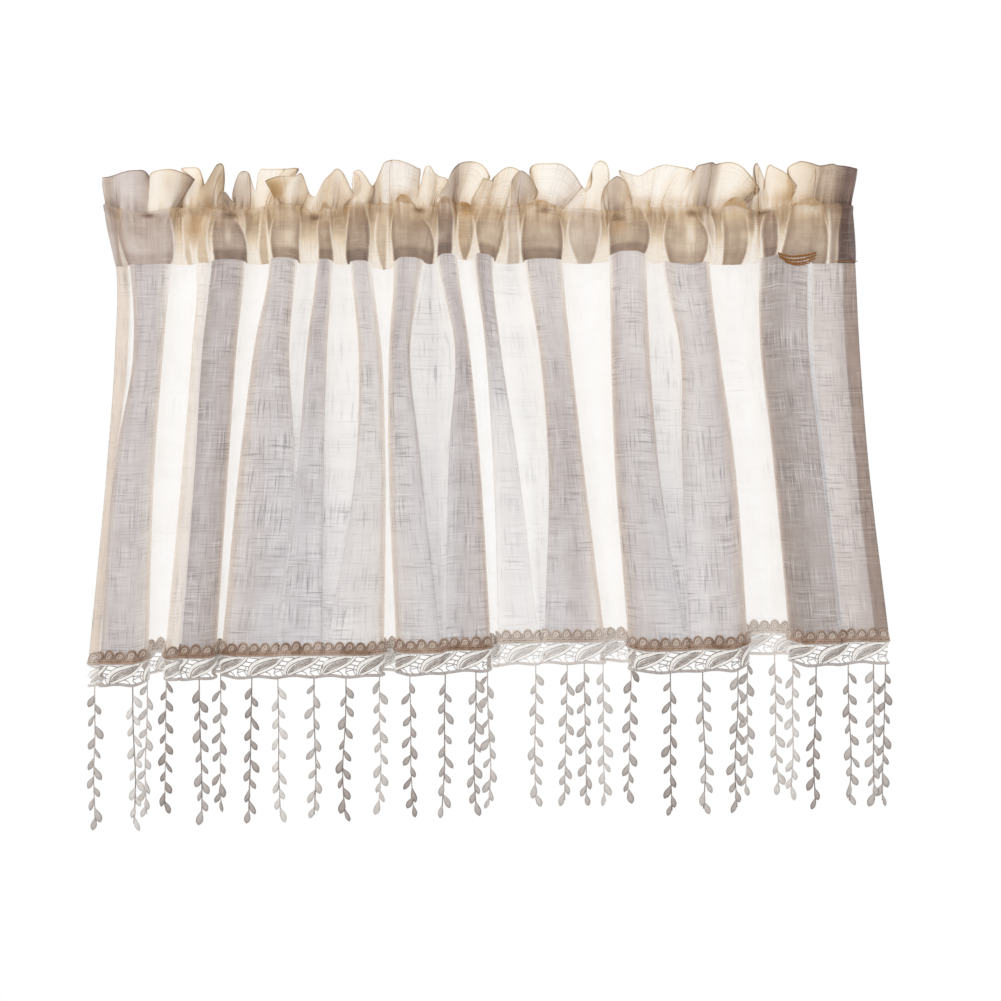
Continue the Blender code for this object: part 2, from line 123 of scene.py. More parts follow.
# How much denser than single cloth the linen looks on each fold's left and right half and
# on the cloth behind its right side, near the heading and from half way down, and how
# beige the whole fold is. Besides denser cloth, the values also hold painted shade and
# painted highlights on the folds
FOLD_DENSITY = {
    "side_left": (0.10, 0.10, 0.00, 0.10, 0.10, 0.00, 0.8),
    "a": (0.08, 0.03, 0.00, 0.08, 0.02, 0.00, 0.0),
    "b_edge": (-0.05, -0.05, 0.00, -0.08, -0.08, 0.00, 0.8),
    "b": (0.23, 0.20, 0.02, 0.21, 0.17, 0.00, 0.1),
    "c": (0.07, 0.05, 0.28, 0.06, 0.04, 0.08, 0.0),
    "d": (0.13, 0.13, 0.24, 0.09, 0.05, 0.06, 0.0),
    "e": (-0.02, 0.00, 0.00, -0.08, -0.06, 0.00, 0.1),
    "f": (0.10, 0.06, 0.38, 0.02, 0.02, 0.14, 0.0),
    "g": (0.11, 0.09, 0.00, 0.12, 0.11, 0.00, 0.0),
    "h": (0.36, 0.20, 0.24, 0.00, 0.02, 0.24, 0.0),
    "i": (0.06, 0.06, 0.00, 0.27, 0.22, 0.00, 0.1),
    "j": (0.01, -0.01, 0.14, 0.08, 0.08, 0.06, 0.0),
    "k": (0.00, 0.04, 0.08, 0.02, 0.05, 0.02, 0.1),
    "l": (0.25, 0.18, 0.30, 0.32, 0.27, 0.30, 0.2),
    "side_right": (0.17, 0.30, 0.00, 0.12, 0.27, 0.00, 0.5),
}

# How far the colouring of a fold's left and right sides, beige that is partly painted shade and the
# painted edge highlight, fades out on the way down as those sides flatten out
SIDES_FADE = {"f": (0.0, 0.7), "g": (0.7, 0.0), "h": (0.9, 0.9)}

# The ruffle's rim as the cloth runs through its curls, in photo millimetres: where a
# stretch leaves the stitches, where its rim stands, its depth, and its height
RIM = (
    (106, 104, -4, 178.5), (111, 111, -8, 178.5), (117, 119, -16, 178), (128, 130, -21, 175.5),
    (140, 141, -22, 174.5), (147, 148.5, -18, 174.5), (151.5, 151.5, -8, 178),
    (156, 155, -17, 176.5),
    (163, 166, -22, 174), (170, 181, -20, 174.5), (174, 193, -13, 179), (177, 195.5, -4, 180.5),
    (181, 186, 6, 172), (184, 180, 12, 167), (189, 189, 15, 165), (195, 198, 12, 168),
    (199, 203, 3, 180), (203, 206, -8, 187), (208, 214, -15, 177), (212, 220.5, -17, 167.5),
    (216, 225.5, -12, 169.5), (219, 225, -3, 184), (222, 222, -8, 194), (227, 228, -16, 195),
    (233, 235, -10, 204), (238, 233, 4, 190), (243, 238, 8, 172.5), (248, 247, 9, 171),
    (254, 255, 6, 190), (258, 258, 10, 170), (263, 268, 14, 167), (268, 285, 14, 166.5),
    (271, 297, 8, 167), (276, 290, -6, 181), (281, 268, -14, 184), (286, 280, -21, 180.5),
    (292, 297, -18, 179.5), (297, 303, -10, 176), (302, 309, -4, 192), (310, 316, -2, 197),
    (317, 321, -5, 189), (321, 325, -10, 183.5), (327, 332, -14, 177), (333, 339, -16, 172),
    (338, 345, -13, 177), (343, 353, -6, 193), (347, 357, -2, 196.5), (350, 361, 2, 189),
    (352, 359, 6, 176), (355, 353, 9, 171), (358, 358, 11, 168), (362, 364, 8, 174),
    (367, 372, 0, 186), (372, 376, -4, 183), (379, 382, -12, 172), (386, 386, -18, 166),
    (394, 396, -21, 164), (402, 407, -20, 166.5), (409, 417, -14, 170.5), (414, 420.5, -6, 174),
    (417, 418, 1, 190), (420, 423, 3, 176), (423, 425.5, -4, 169), (427, 431, -7, 168),
    (430, 434, -1, 173), (433, 439, 8, 175), (436, 447, 9, 178), (438, 449, 2, 186),
    (441, 443, -8, 191), (446, 446, -14, 188.5), (451, 453, -12, 173), (455, 460, -2, 164),
    (460, 473, 10, 160), (465, 484, 10, 165), (469, 490, 3, 177), (473, 485, -8, 182),
    (477, 484, -15, 181), (483, 492, -12, 183), (489, 494, -3, 178), (495, 504, 5, 168),
    (501, 513, 9, 166), (506, 520, 8, 170.5), (510, 519, 0, 178), (514, 512, -9, 183),
    (519, 520, -16, 174), (525, 531, -17, 182), (530, 537, -11, 193), (534, 530, 2, 172),
    (538, 534, 11, 163), (543, 549, 15, 161), (549, 562, 14, 162), (556, 574, 10, 172),
    (562, 583, 4, 187), (568, 589, -1, 189.5), (575, 591.5, -5, 182), (582, 592, -8, 170),
    (590, 600, -11, 163), (597, 607.5, -8, 170), (601, 608.5, -2, 182), (604, 604, -7, 189),
    (610, 611, -14, 182), (617, 618, -17, 180), (624, 627, -13, 190), (629, 629, -3, 198),
    (632, 620, 8, 172), (636, 625, 13, 170), (640, 638, 12, 174), (646, 650, 3, 169.5),
    (654, 664, -5, 166), (661, 678, -8, 168.5), (668, 688, -6, 170), (673, 694, 2, 171),
    (678, 690, 9, 172), (684, 695, 8, 170), (690, 697, -4, 167), (697, 703, -10, 166),
    (704, 711, -10, 164.5), (709, 715, -3, 165), (714, 722, 6, 162), (719, 731, 8, 161),
    (726, 742, 4, 166), (733, 752, -5, 180), (739, 758, -12, 192), (745, 752, -14, 197),
    (750, 755, -6, 184), (754, 754, 3, 168), (758, 758, 7, 162.5), (763, 765, 3, 182),
    (767, 763, -3, 189), (771, 768, 4, 166), (775, 776, 8, 166), (779, 788, 4, 174),
    (783, 796, -5, 187), (787, 790, 3, 178), (791, 789, 10, 167), (796, 799, 13, 160),
    (804, 811, 12, 160.5), (811, 820, 4, 165), (817, 824, -4, 166), (824, 831, -8, 165.5),
    (831, 835, -8, 167), (838, 844, -6, 167.5), (845, 851, -4, 168.5), (850, 856.5, -2, 169.5),
)

# The photo millimetres of the part's x = 0 and z = 0
CENTRE_LINE = 485.0
TOP_LINE = 160.0

# How dense (0 single and pale, 0.45 golden, 0.7 taupe, 1 brown) and how grey-pink the
# ruffle looks as it leaves the stitches, in photo millimetres
RUFFLE_TONES = (
    (104, 0.46, 0.8), (113, 0.46, 0.8), (117, 0.30, 1.0), (136, 0.30, 1.0), (146, 0.44, 0.9),
    (150, 0.46, 0.8), (152, 0.12, 0.1), (160, 0.10, 0.1), (166, 0.14, 0.0), (170, 0.26, 0.2),
    (174, 0.40, 0.7), (178, 0.46, 0.6), (183, 0.10, 0.1), (196, 0.20, 0.0), (203, 0.46, 0.0),
    (208, 0.50, 0.2), (216, 0.36, 0.2), (222, 0.42, 0.0), (227, 0.56, 0.5), (233, 0.36, 0.2),
    (240, 0.40, 0.6), (248, 0.34, 0.5), (254, 0.18, 0.0), (264, 0.10, 0.0), (276, 0.40, 0.0),
    (284, 0.46, 0.0), (290, 0.14, 0.1), (297, 0.34, 0.3), (302, 0.30, 0.0), (312, 0.14, 0.0),
    (322, 0.26, 0.3), (328, 0.34, 0.0), (334, 0.16, 0.2), (339, 0.28, 0.0), (348, 0.42, 0.2),
    (356, 0.14, 0.2), (364, 0.20, 0.0), (372, 0.46, 0.4), (380, 0.30, 0.1), (386, 0.12, 0.4),
    (402, 0.12, 0.4), (410, 0.26, 0.5), (417, 0.08, 0.0), (424, 0.14, 0.0), (431, 0.20, 0.0),
    (437, 0.18, 0.0), (443, 0.14, 0.5), (448, 0.34, 0.7), (453, 0.48, 0.6), (459, 0.28, 0.2),
    (466, 0.10, 0.0), (474, 0.24, 0.0), (482, 0.28, 0.1), (490, 0.30, 0.1), (500, 0.14, 0.0),
    (508, 0.20, 0.1), (514, 0.30, 0.4), (520, 0.34, 0.7), (527, 0.38, 0.5), (533, 0.26, 0.0),
    (541, 0.10, 0.1), (550, 0.14, 0.5), (560, 0.24, 0.5), (570, 0.14, 0.1), (584, 0.10, 0.0),
    (598, 0.10, 0.0), (605, 0.30, 0.4), (613, 0.42, 0.6), (621, 0.40, 0.3), (629, 0.32, 0.1),
    (638, 0.12, 0.1), (656, 0.08, 0.1), (668, 0.12, 0.0), (680, 0.12, 0.1), (691, 0.26, 0.3),
    (698, 0.42, 0.7), (708, 0.42, 0.6), (714, 0.14, 0.1), (726, 0.12, 0.0), (736, 0.34, 0.1),
    (744, 0.50, 0.2), (752, 0.34, 0.3), (759, 0.22, 0.1), (772, 0.18, 0.0), (784, 0.40, 0.0),
    (792, 0.26, 0.0), (804, 0.34, 0.2), (814, 0.44, 0.4), (828, 0.58, 0.5), (835, 0.68, 0.6),
    (841, 0.84, 0.9), (856, 0.86, 1.0),
)

# The upper stitches rise and dip as the gathers push them
ROW_DIPS = (
    (104, 203), (122, 211), (150, 216), (172, 211), (190, 206), (205, 208), (232, 214),
    (260, 207), (300, 207), (316, 212), (350, 207), (372, 204), (400, 204), (420, 209),
    (446, 205), (470, 206), (495, 208), (520, 206), (544, 210), (585, 208), (616, 214),
    (650, 207), (676, 210), (710, 207), (735, 205), (762, 212), (790, 208), (820, 206),
    (856, 206),
)

# Bulges of the pocket's front wall. Left and right side at the upper stitches, half way
# and at the seam, then how far it stands out, how dense its bunched cloth looks, how much
# it runs to grey-pink, how far it rolls up over the stitches and sags below the seam, and
# how dark its doubled lower edge is
BULGE_COLUMNS = ("top", "middle", "low", "out", "dense", "grey", "roll", "sag", "band")
BULGES = (
    ((101, 121), (102, 124), (106, 128), 0, 0.60, 0.9, 0, 0, 0.0),
    ((124, 170), (121, 178), (127, 173), 9, 0.56, 0.9, 0, 2, 0.5),
    ((187, 194), (183, 197), (184, 197), 4, 0.48, 0.2, 0, 1, 0.0),
    ((206, 217), (200, 214), (197, 213), 5, 0.50, 0.1, 0, 0, 0.0),
    ((218, 232), (215, 246), (215, 249), 10, 0.72, 0.5, 11, 0, 1.0),
    ((236, 247), (243, 250), (247, 250), 6, 0.50, 0.3, 0, 0, 0.0),
    ((261, 271), (259, 272), (259, 272), 4, 0.60, 0.0, 0, 0, 0.0),
    ((277, 300), (273, 303), (273, 302), 10, 0.64, 0.2, 2, 0, 1.0),
    ((322, 331), (319, 334), (319, 334), 9, 0.70, 0.1, 8, 0, 1.0),
    ((352, 367), (347, 371), (347, 371), 10, 0.78, 0.3, 0, 0, 1.0),
    ((377, 389), (374, 392), (379, 388), 4, 0.60, 0.2, 2, 2, 0.0),
    ((396, 414), (392, 432), (393, 435), 10, 0.72, 0.2, 10, 1, 1.0),
    ((440, 452), (437, 455), (438, 453), 11, 0.80, 0.5, 8, 0, 1.0),
    ((456, 472), (455, 477), (460, 469), 6, 0.66, 0.0, 4, 4, 0.0),
    ((480, 499), (476, 505), (478, 497), 9, 0.68, 0.1, 0, 2, 0.8),
    ((505, 520), (504, 522), (504, 522), 3, 0.52, 0.5, 0, 0, 0.0),
    ((526, 556), (520, 562), (523, 563), 11, 0.72, 0.2, 8, 1, 1.0),
    ((569, 600), (565, 603), (574, 594), 5, 0.58, 0.5, 0, 5, 0.0),
    ((612, 640), (607, 648), (608, 645), 11, 0.70, 0.2, 2, 0, 1.0),
    ((651, 659), (650, 661), (649, 662), 2, 0.20, 0.0, 0, 0, 0.0),
    ((666, 690), (662, 705), (666, 702), 10, 0.66, 0.2, 0, 4, 0.3),
    ((697, 708), (702, 714), (711, 716), 7, 0.52, 0.5, 0, 0, 0.0),
    ((722, 744), (719, 748), (722, 743), 8, 0.68, 0.1, 8, 2, 0.0),
    ((749, 757), (748, 758), (744, 758), 2, 0.32, 0.3, 0, 0, 0.0),
    ((761, 772), (758, 778), (759, 774), 7, 0.82, 0.5, 0, 1, 0.4),
    ((790, 821), (782, 825), (777, 826), 10, 0.72, 0.2, 8, 1, 0.0),
    ((823, 840), (824, 838), (825, 836), 3, 0.72, 0.5, 0, 0, 0.0),
    ((835, 858), (834, 859), (832, 858), 5, 1.20, 1.0, 0, 0, 0.0),
)

# Where light glows golden through crossing layers: centre, half width and height, strength
GLOWS = (
    (171, 186, 6, 11, 0.5), (198, 230, 13, 18, 1.0), (210, 212, 6, 13, 0.9),
    (240, 212, 6, 9, 0.6), (276, 194, 10, 9, 0.8), (303, 213, 9, 5, 0.6), (336, 190, 5, 13, 0.7),
    (350, 211, 10, 5, 0.7), (404, 199, 9, 6, 0.8), (424, 207, 8, 9, 0.35),
    (467, 213, 12, 11, 1.2), (463, 234, 6, 16, 0.6), (494, 205, 9, 7, 0.5), (518, 207, 9, 6, 0.6),
    (541, 203, 12, 7, 0.7), (590, 210, 13, 8, 0.5), (618, 230, 10, 8, 0.8),
    (641, 204, 13, 6, 0.7), (676, 204, 13, 5, 0.6), (727, 202, 10, 6, 0.8), (745, 214, 6, 7, 0.5),
    (783, 201, 14, 7, 0.9), (806, 201, 17, 6, 0.6),
)

# Smooth places on the bulges, where more light comes through, in the same columns
PALE_SPOTS = (
    (232, 238, 3, 8, 0.24), (291, 240, 5, 6, 0.14), (442, 240, 4, 5, 0.14), (688, 236, 5, 12, 0.30),
    (744, 238, 6, 5, 0.14), (808, 212, 9, 5, 0.22), (493, 232, 6, 12, 0.08),
    (540, 232, 10, 8, 0.08), (570, 208, 14, 9, 0.20),
)

# Dark stitched-in puckers just below the upper stitches
PUCKERS = (
    (153, 219), (232, 219), (316, 220), (420, 213), (544, 214), (616, 222), (690, 217),
    (761, 215),
)

# Exposed stitching, each stretch in photo millimetres with its thread's thickness
STITCHING = (
    ((774, 256.5, 1.0), (784, 259.5, 1.2), (800, 259.0, 1.2), (812, 256.0, 0.9)),
    ((775, 259.0, 0.9), (785, 263.0, 1.2), (800, 262.5, 1.2), (812, 258.5, 0.9)),
    ((776, 261.0, 0.7), (786, 265.8, 1.0), (799, 265.8, 1.0), (811, 261.5, 0.8)),
    ((781, 265.5, 0.6), (793, 268.3, 0.8), (806, 266.0, 0.6)),
    ((832, 264.0, 0.5), (842, 264.8, 0.5), (853, 264.0, 0.5)),
)

# How strongly each tassel is dyed, in the order of TASSEL_PLACES
TASSEL_DYES = (
    0.8, 0.15, 0.35, 0.95, 0.9, 0.75, 1.0, 0.15, 0.5, 1.0, 0.35, 1.0, 0.65, 0.8, 0.4,
    0.45, 0.45, 0.75, 0.25, 0.9, 0.85, 0.65, 0.7, 0.6, 0.2, 0.15, 0.9, 0.75, 0.6, 0.8)


# ---- The hanging cloth ----


def cubic(values, at, s):
    """A smooth curve through a row of values for each place in at, read at each s."""
    slopes = np.gradient(values, at, axis=0)
    i = np.clip(np.searchsorted(at, s, side="right") - 1, 0, len(at) - 2)
    step = (at[i + 1] - at[i])[:, None]
    u = (s - at[i])[:, None] / step
    return ((2 * u**3 - 3 * u**2 + 1) * values[i] + (u**3 - 2 * u**2 + u) * step * slopes[i]
            + (3 * u**2 - 2 * u**3) * values[i + 1] + (u**3 - u**2) * step * slopes[i + 1])


def at_height(z, levels, values):
    """A table's values for these levels, read at height z."""
    drops = np.array([-LEVELS[name] for name in levels])
    return cubic(np.array(values), drops, np.array([-z]))[0]


def in_turn(*seven):
    """Values for each fold's six stations and for the cloth to its right, put in their
    order along the cloth."""
    return np.stack(seven, axis=1).ravel()[1:-2]


class Cloth:
    """Where each point of the flat cloth hangs, as the part's source has it."""

    def __init__(self):
        self.left, self.right = np.array([row[1:] for row in EDGES], float).T
        self.shape = dict(zip(SHAPE_COLUMNS[1:], np.array([row[1:] for row in SHAPES], float).T))
        steps = [np.diff(self.stations(LEVELS[name]), axis=0) for name in list(LEVELS)[1:]]
        lengths = [np.hypot(*step.T) for step in steps]
        self.station_s = np.concatenate([[0.0], np.cumsum(np.mean(lengths, axis=0))])
        self.width = self.station_s[-1]

    def depths(self, z):
        """How far back each fold and the cloth to its right hang at this height."""
        shape = self.shape
        share = np.clip((z - LEVELS["seam"]) / (LEVELS["hem"] - LEVELS["seam"]), 0, 1)
        front = shape["front_seam"] * (1 - share) + shape["front_hem"] * share
        if z > LEVELS["seam"]:
            return front, shape["back_seam"]
        backs = [shape[name] for name in ("back_seam", "back_middle", "back_hem")]
        return front, at_height(z, ("seam", "middle", "hem"), backs)

    def across(self, folds, backs):
        """A value at each station: a fold's own on its face, and towards its necks more
        and more that of the cloth behind."""
        before = np.append(folds[:1], backs[:-1])
        after = np.append(backs[:-1], folds[-1:])
        return in_turn(before * 0.8 + folds * 0.2, before * 0.4 + folds * 0.6, folds, folds,
                       after * 0.4 + folds * 0.6, after * 0.8 + folds * 0.2, backs)

    def stations(self, z):
        """Six points on each fold, from neck to neck, and one on the cloth behind."""
        left, right = (at_height(z, LEVELS, table) for table in (self.left, self.right))
        front, back = self.depths(z)
        wide = right - left
        deep = np.array([np.append(front[:1], back[:-1]), np.append(back[:-1], front[-1:])]) - front
        grown = float(np.clip((LEVELS["seam"] - z) / TUCK_GROWS, 0, 1))
        tuck = (np.minimum(TUCK_RATIO * np.maximum(0.0, deep - TUCK_FROM), TUCK_MOST * wide) * grown
                - POCKET_SLANT * np.maximum(1 - grown, np.minimum(1.0, 1 - deep / TUCK_FROM)))
        behind = (right + np.append(left[1:], 0.0)) / 2
        x = in_turn(left + tuck[0], left, left + FACE_INSET * wide,
                    right - FACE_INSET * wide, right, right - tuck[1], behind)
        return np.column_stack([x, self.across(front, back)])

    def section(self, z, s):
        """Points of the cloth's middle at this height, and its front normals."""
        points = cubic(self.stations(z), self.station_s, s)
        return points, front_normals(points)

    def column(self, on_folds, behind, s):
        """A height from the table, such as the hem's, read at each s."""
        return np.interp(s, self.station_s, self.across(self.shape[on_folds], self.shape[behind]))


def front_normals(points):
    along = np.gradient(points, axis=0)
    along /= np.linalg.norm(along, axis=1)[:, None]
    return np.stack([along[:, 1], -along[:, 0]], axis=1)


def wander(at, seed, waves=5, longest=1.0):
    """A smooth, even-handed unevenness along at, within about -1 to 1."""
    at = np.asarray(at, float)
    total = np.zeros_like(at)
    for k in range(waves):
        turn = math.sin(seed * 12.9898 + k * 78.233) * 43758.5453
        phase = (turn - math.floor(turn)) * 2 * math.pi
        rate = 2 * math.pi * (1 + 0.83 * k) / longest
        total += np.sin(rate * at + phase) / (1 + 0.55 * k)
    return total / 2.0


cloth = Cloth()


# ---- Meshes ----


def grid_piece(name, place, flat, looks):
    """A sheet: vertex (i, j) of a grid goes to place[j, i], and flat[j, i] is its place on
    the flat cloth, kept as the UV map, both in millimetres. looks names the values that
    the material reads at each vertex."""
    rows, columns, _ = place.shape
    bm = bmesh.new()
    bmesh.ops.create_grid(bm, x_segments=columns - 1, y_segments=rows - 1, size=1.0)
    bm.verts.ensure_lookup_table()
    i = np.array([round((v.co.x + 1) / 2 * (columns - 1)) for v in bm.verts])
    j = np.array([round((v.co.y + 1) / 2 * (rows - 1)) for v in bm.verts])
    mesh = bpy.data.meshes.new(name)
    bm.to_mesh(mesh)
    bm.free()
    mesh.vertices.foreach_set("co", (place[j, i] * MM).astype(np.float32).ravel())
    uv = mesh.uv_layers.new(name="flat_cloth")
    corner = np.zeros(len(mesh.loops), np.int32)
    mesh.loops.foreach_get("vertex_index", corner)
    uv.data.foreach_set("uv", (flat[j, i][corner] * MM).astype(np.float32).ravel())
    for key, values in looks.items():
        attribute = mesh.attributes.new(key, "FLOAT", "POINT")
        attribute.data.foreach_set("value", values[j, i].astype(np.float32))
    mesh.polygons.foreach_set("use_smooth", [True] * len(mesh.polygons))
    mesh.update()
    return finished(name, mesh)


def finished(name, mesh):
    obj = bpy.data.objects.new(name, mesh)
    bpy.context.scene.collection.objects.link(obj)
    return obj

def tube_mesh(name, lines, resolution):
    """Round cords along lines of (x, y, z, radius) points, in millimetres, as one mesh."""
    curve = bpy.data.curves.new(name, "CURVE")
    curve.dimensions = "3D"
    curve.bevel_depth = MM
    curve.bevel_resolution = resolution
    curve.use_fill_caps = True
    for line in lines:
        spline = curve.splines.new("POLY")
        spline.points.add(len(line) - 1)
        for point, (x, y, z, radius) in zip(spline.points, line):
            point.co = (x * MM, y * MM, z * MM, 1.0)
            point.radius = radius
    holder = bpy.data.objects.new(name, curve)
    bpy.context.scene.collection.objects.link(holder)
    bpy.context.view_layer.update()
    graph = bpy.context.evaluated_depsgraph_get()
    mesh = bpy.data.meshes.new_from_object(holder.evaluated_get(graph))
    bpy.data.objects.remove(holder)
    bpy.data.curves.remove(curve)
    mesh.polygons.foreach_set("use_smooth", [True] * len(mesh.polygons))
    return mesh


def smooth_line(points, count):
    """A rounder line through a few points, each a row of numbers."""
    points = np.array(points, float)
    steps = np.sqrt((np.diff(points[:, :2], axis=0) ** 2).sum(axis=1))
    at = np.concatenate([[0.0], np.cumsum(steps)])
    return cubic(points, at, np.linspace(0.0, at[-1], count))


# Where the hem hangs, finely, and the cloth at the braid's top
hem_s = np.linspace(0.0, cloth.width, 1600)
hem_points, hem_normals = cloth.section(LEVELS["hem"], hem_s)
braid_top_points, _ = cloth.section(LEVELS["hem"] + BRAID_TOP, hem_s)
hem_z = cloth.column("hem", "hem_back", hem_s)
# The trim doesn't stretch, so its repeats are counted along the hem as it hangs
hem_along = np.concatenate([[0.0], np.cumsum(np.hypot(*np.diff(hem_points, axis=0).T))])
hem_long = float(hem_along[-1])


def lay_on_hem(mesh, up_cloth=False):
    """Takes a mesh drawn flat, x along the hem, z up from it and y out from the cloth's
    face, and lays it along the hem. With up_cloth it follows the cloth above the hem."""
    co = np.zeros(len(mesh.vertices) * 3, np.float32)
    mesh.vertices.foreach_get("co", co)
    drawn, out, up = co.reshape(-1, 3).astype(float).T / MM
    along = np.clip(drawn, 0.0, hem_long)
    s = np.interp(along, hem_along, hem_s)
    x, y, top_x, top_y, nx, ny, z = (
        np.interp(s, hem_s, values)
        for values in (*hem_points.T, *braid_top_points.T, *hem_normals.T, hem_z))
    if up_cloth:
        part = np.clip(up / BRAID_TOP, 0.0, 1.0)
        x += part * (top_x - x)
        y += part * (top_y - y)
    size = np.hypot(nx, ny)
    placed = np.column_stack([x - nx / size * out + (drawn - along), y - ny / size * out, z + up])
    mesh.vertices.foreach_set("co", (placed * MM).astype(np.float32).ravel())
    mesh.update()


# ---- Materials ----


def linear(code):
    """An sRGB hex colour as the linear one that shaders take."""
    values = [int(code[i:i + 2], 16) / 255 for i in (1, 3, 5)]
    return [v / 12.92 if v <= 0.04045 else ((v + 0.055) / 1.055) ** 2.4 for v in values] + [1.0]


def add_node(tree, kind, settings=(), **links):
    """Adds a shader node, sets its properties, sockets and colour stops, and links sockets
    to other nodes, or to one of their outputs. Underscores in a link's name stand for
    spaces, a leading in_ takes a number, and a colour is given as its hex code."""
    node = tree.nodes.new("ShaderNode" + kind)
    for key, value in dict(settings).items():
        if key == "stops":
            elements = node.color_ramp.elements
            while len(elements) < len(value):
                elements.new(0.5)
            for element, (position, code) in zip(elements, value):
                element.position, element.color = position, linear(code)
        elif isinstance(key, int) or key in node.inputs:
            colour = isinstance(value, str) and value.startswith("#")
            node.inputs[key].default_value = linear(value) if colour else value
        else:
            setattr(node, key, value)
    for key, source in links.items():
        socket = int(key[3:]) if key.startswith("in_") else key.replace("_", " ")
        if isinstance(source, bpy.types.Node):
            # The colour of a Mix node is its third output
            source = source.outputs[2 if source.bl_idname == "ShaderNodeMix" else 0]
        tree.links.new(source, node.inputs[socket])
    return node


def empty_tree(owner):
    """Clears the nodes of a material or a world, and gives add_node for it."""
    owner.use_nodes = True
    owner.node_tree.nodes.clear()
    return partial(add_node, owner.node_tree)


def new_material(name):
    material = bpy.data.materials.new(name)
    return material, empty_tree(material)


def slub_flecks(add, flat):
    """Uneven linen yarn: thick and thin stretches along single threads, both ways, in
    patches. Real threads are 0.5 mm apart, so only some are drawn, 1.4 mm apart and about
    25 mm long. Returns the dark stretches and the light ones."""
    ways = [add("Mapping", {"Scale": (34.0, 760.0, 1.0)}, Vector=flat),
            add("Mapping", {"Scale": (760.0, 30.0, 1.0), "Location": (3.7, 1.9, 0.0)}, Vector=flat)]
    threads = [add("TexNoise", {"Scale": 1.0, "Detail": 2.0}, Vector=way) for way in ways]
    uneven = add("TexNoise", {"Scale": 20.0, "Detail": 2.0, "Roughness": 0.6}, Vector=flat)
    patch = add("MapRange", {"From Min": 0.38, "From Max": 0.64, "To Min": 0.30}, Value=uneven)
    flecks = []
    for low, high in ((0.555, 0.70), (0.44, 0.31)):
        weft, warp = (add("MapRange", {"From Min": low, "From Max": high}, Value=thread)
                      for thread in threads)
        either = add("Math", {"operation": "MAXIMUM"}, in_0=weft, in_1=warp)
        flecks.append(add("Math", {"operation": "MULTIPLY"}, in_0=either, in_1=patch))
    return flecks


def slub_linen(name, attributes, cloud_scale, uneven):
    """Starts a linen: its slubs, dark and light, and what its mesh gives at each place.
    Handling leaves the weave a little closer in one place than in another, and the tone,
    which is given first, takes that up."""
    material, add = new_material(name)
    flat = add("UVMap", {"uv_map": "flat_cloth"})
    flecks = slub_flecks(add, flat)
    tone, *others = (add("Attribute", {"attribute_name": key}).outputs["Fac"] for key in attributes)
    cloudy = add("TexNoise", {"Scale": cloud_scale, "Detail": 3.0, "Roughness": 0.6}, Vector=flat)
    closer = add("MapRange", {"From Min": 0.3, "From Max": 0.7, "To Min": -uneven,
                              "To Max": uneven}, Value=cloudy)
    tone = add("Math", {"operation": "ADD"}, in_0=tone, in_1=closer)
    return material, add, *flecks, tone, *others


def laid_over(add, colour, layers):
    """Each layer's colour over the last, as much as its source and strength say."""
    for source, strength, code in layers:
        share = add("Math", {"operation": "MULTIPLY", 1: strength}, in_0=source)
        colour = add("Mix", {"data_type": "RGBA", 7: code}, in_0=share, in_6=colour)
    return colour


def sheer(add, colour, cover):
    """Loosely woven cloth: part of the light passes between the threads, and the yarn
    itself lets light through as much as it throws it back."""
    cover = add("Math", {"operation": "MINIMUM", 1: 0.97}, in_0=cover)
    facing = add("BsdfDiffuse", {"Roughness": 0.9}, Color=colour)
    passing = add("BsdfTranslucent", Color=colour)
    body = add("MixShader", {0: 0.5}, in_1=facing, in_2=passing)
    clear = add("BsdfTransparent")
    surface = add("MixShader", in_0=cover, in_1=clear, in_2=body)
    add("OutputMaterial", Surface=surface)


def panel_linen_material():
    """Sheer off-white slub linen: near white where one thin layer hangs far back, grey where a fold
    is bunched and, as painted shade, where it stands forward, beige along the folds' rounded sides,
    partly painted shade."""
    material, add, dark, light, tone, turned = slub_linen(
        "sheer slub linen", ("tone", "turned"), 34.0, 0.05)
    grey = add("ValToRGB", {"stops": [(0.0, "#ffffff"), (0.25, "#f6f3f0"), (0.5, "#e1dedd"),
                                      (0.75, "#cec9cb"), (1.0, "#aba19d")]}, Fac=tone)
    beige = add("ValToRGB", {"stops": [(0.0, "#fff6ea"), (0.5, "#ebddcf"), (0.75, "#d0beb2"),
                                       (1.0, "#ab9789")]}, Fac=tone)
    # Beige along the rounded sides: partly more layers seen edge on, partly painted shade
    side = add("Math", {"operation": "MULTIPLY", 1: 0.85}, in_0=turned)
    colour = add("Mix", {"data_type": "RGBA"}, in_0=side, in_6=grey, in_7=beige)
    # A slub only shows where the cloth behind it isn't bright
    seen = add("MapRange", {"From Min": 0.2, "From Max": 0.62, "To Min": 0.25}, Value=tone)
    dark_seen, light_seen = (add("Math", {"operation": "MULTIPLY"}, in_0=fleck, in_1=seen)
                             for fleck in (dark, light))
    colour = laid_over(add, colour, [(dark_seen, 0.66, "#77757a"), (light_seen, 0.42, "#f4f2f2")])
    cover = add("MapRange", {"From Max": 0.8, "To Min": 0.40, "To Max": 0.93}, Value=tone)
    thicker = add("Math", {"operation": "MULTIPLY", 1: 0.12}, in_0=dark)
    cover = add("Math", {"operation": "ADD"}, in_0=cover, in_1=thicker)
    sheer(add, colour, cover)
    return material


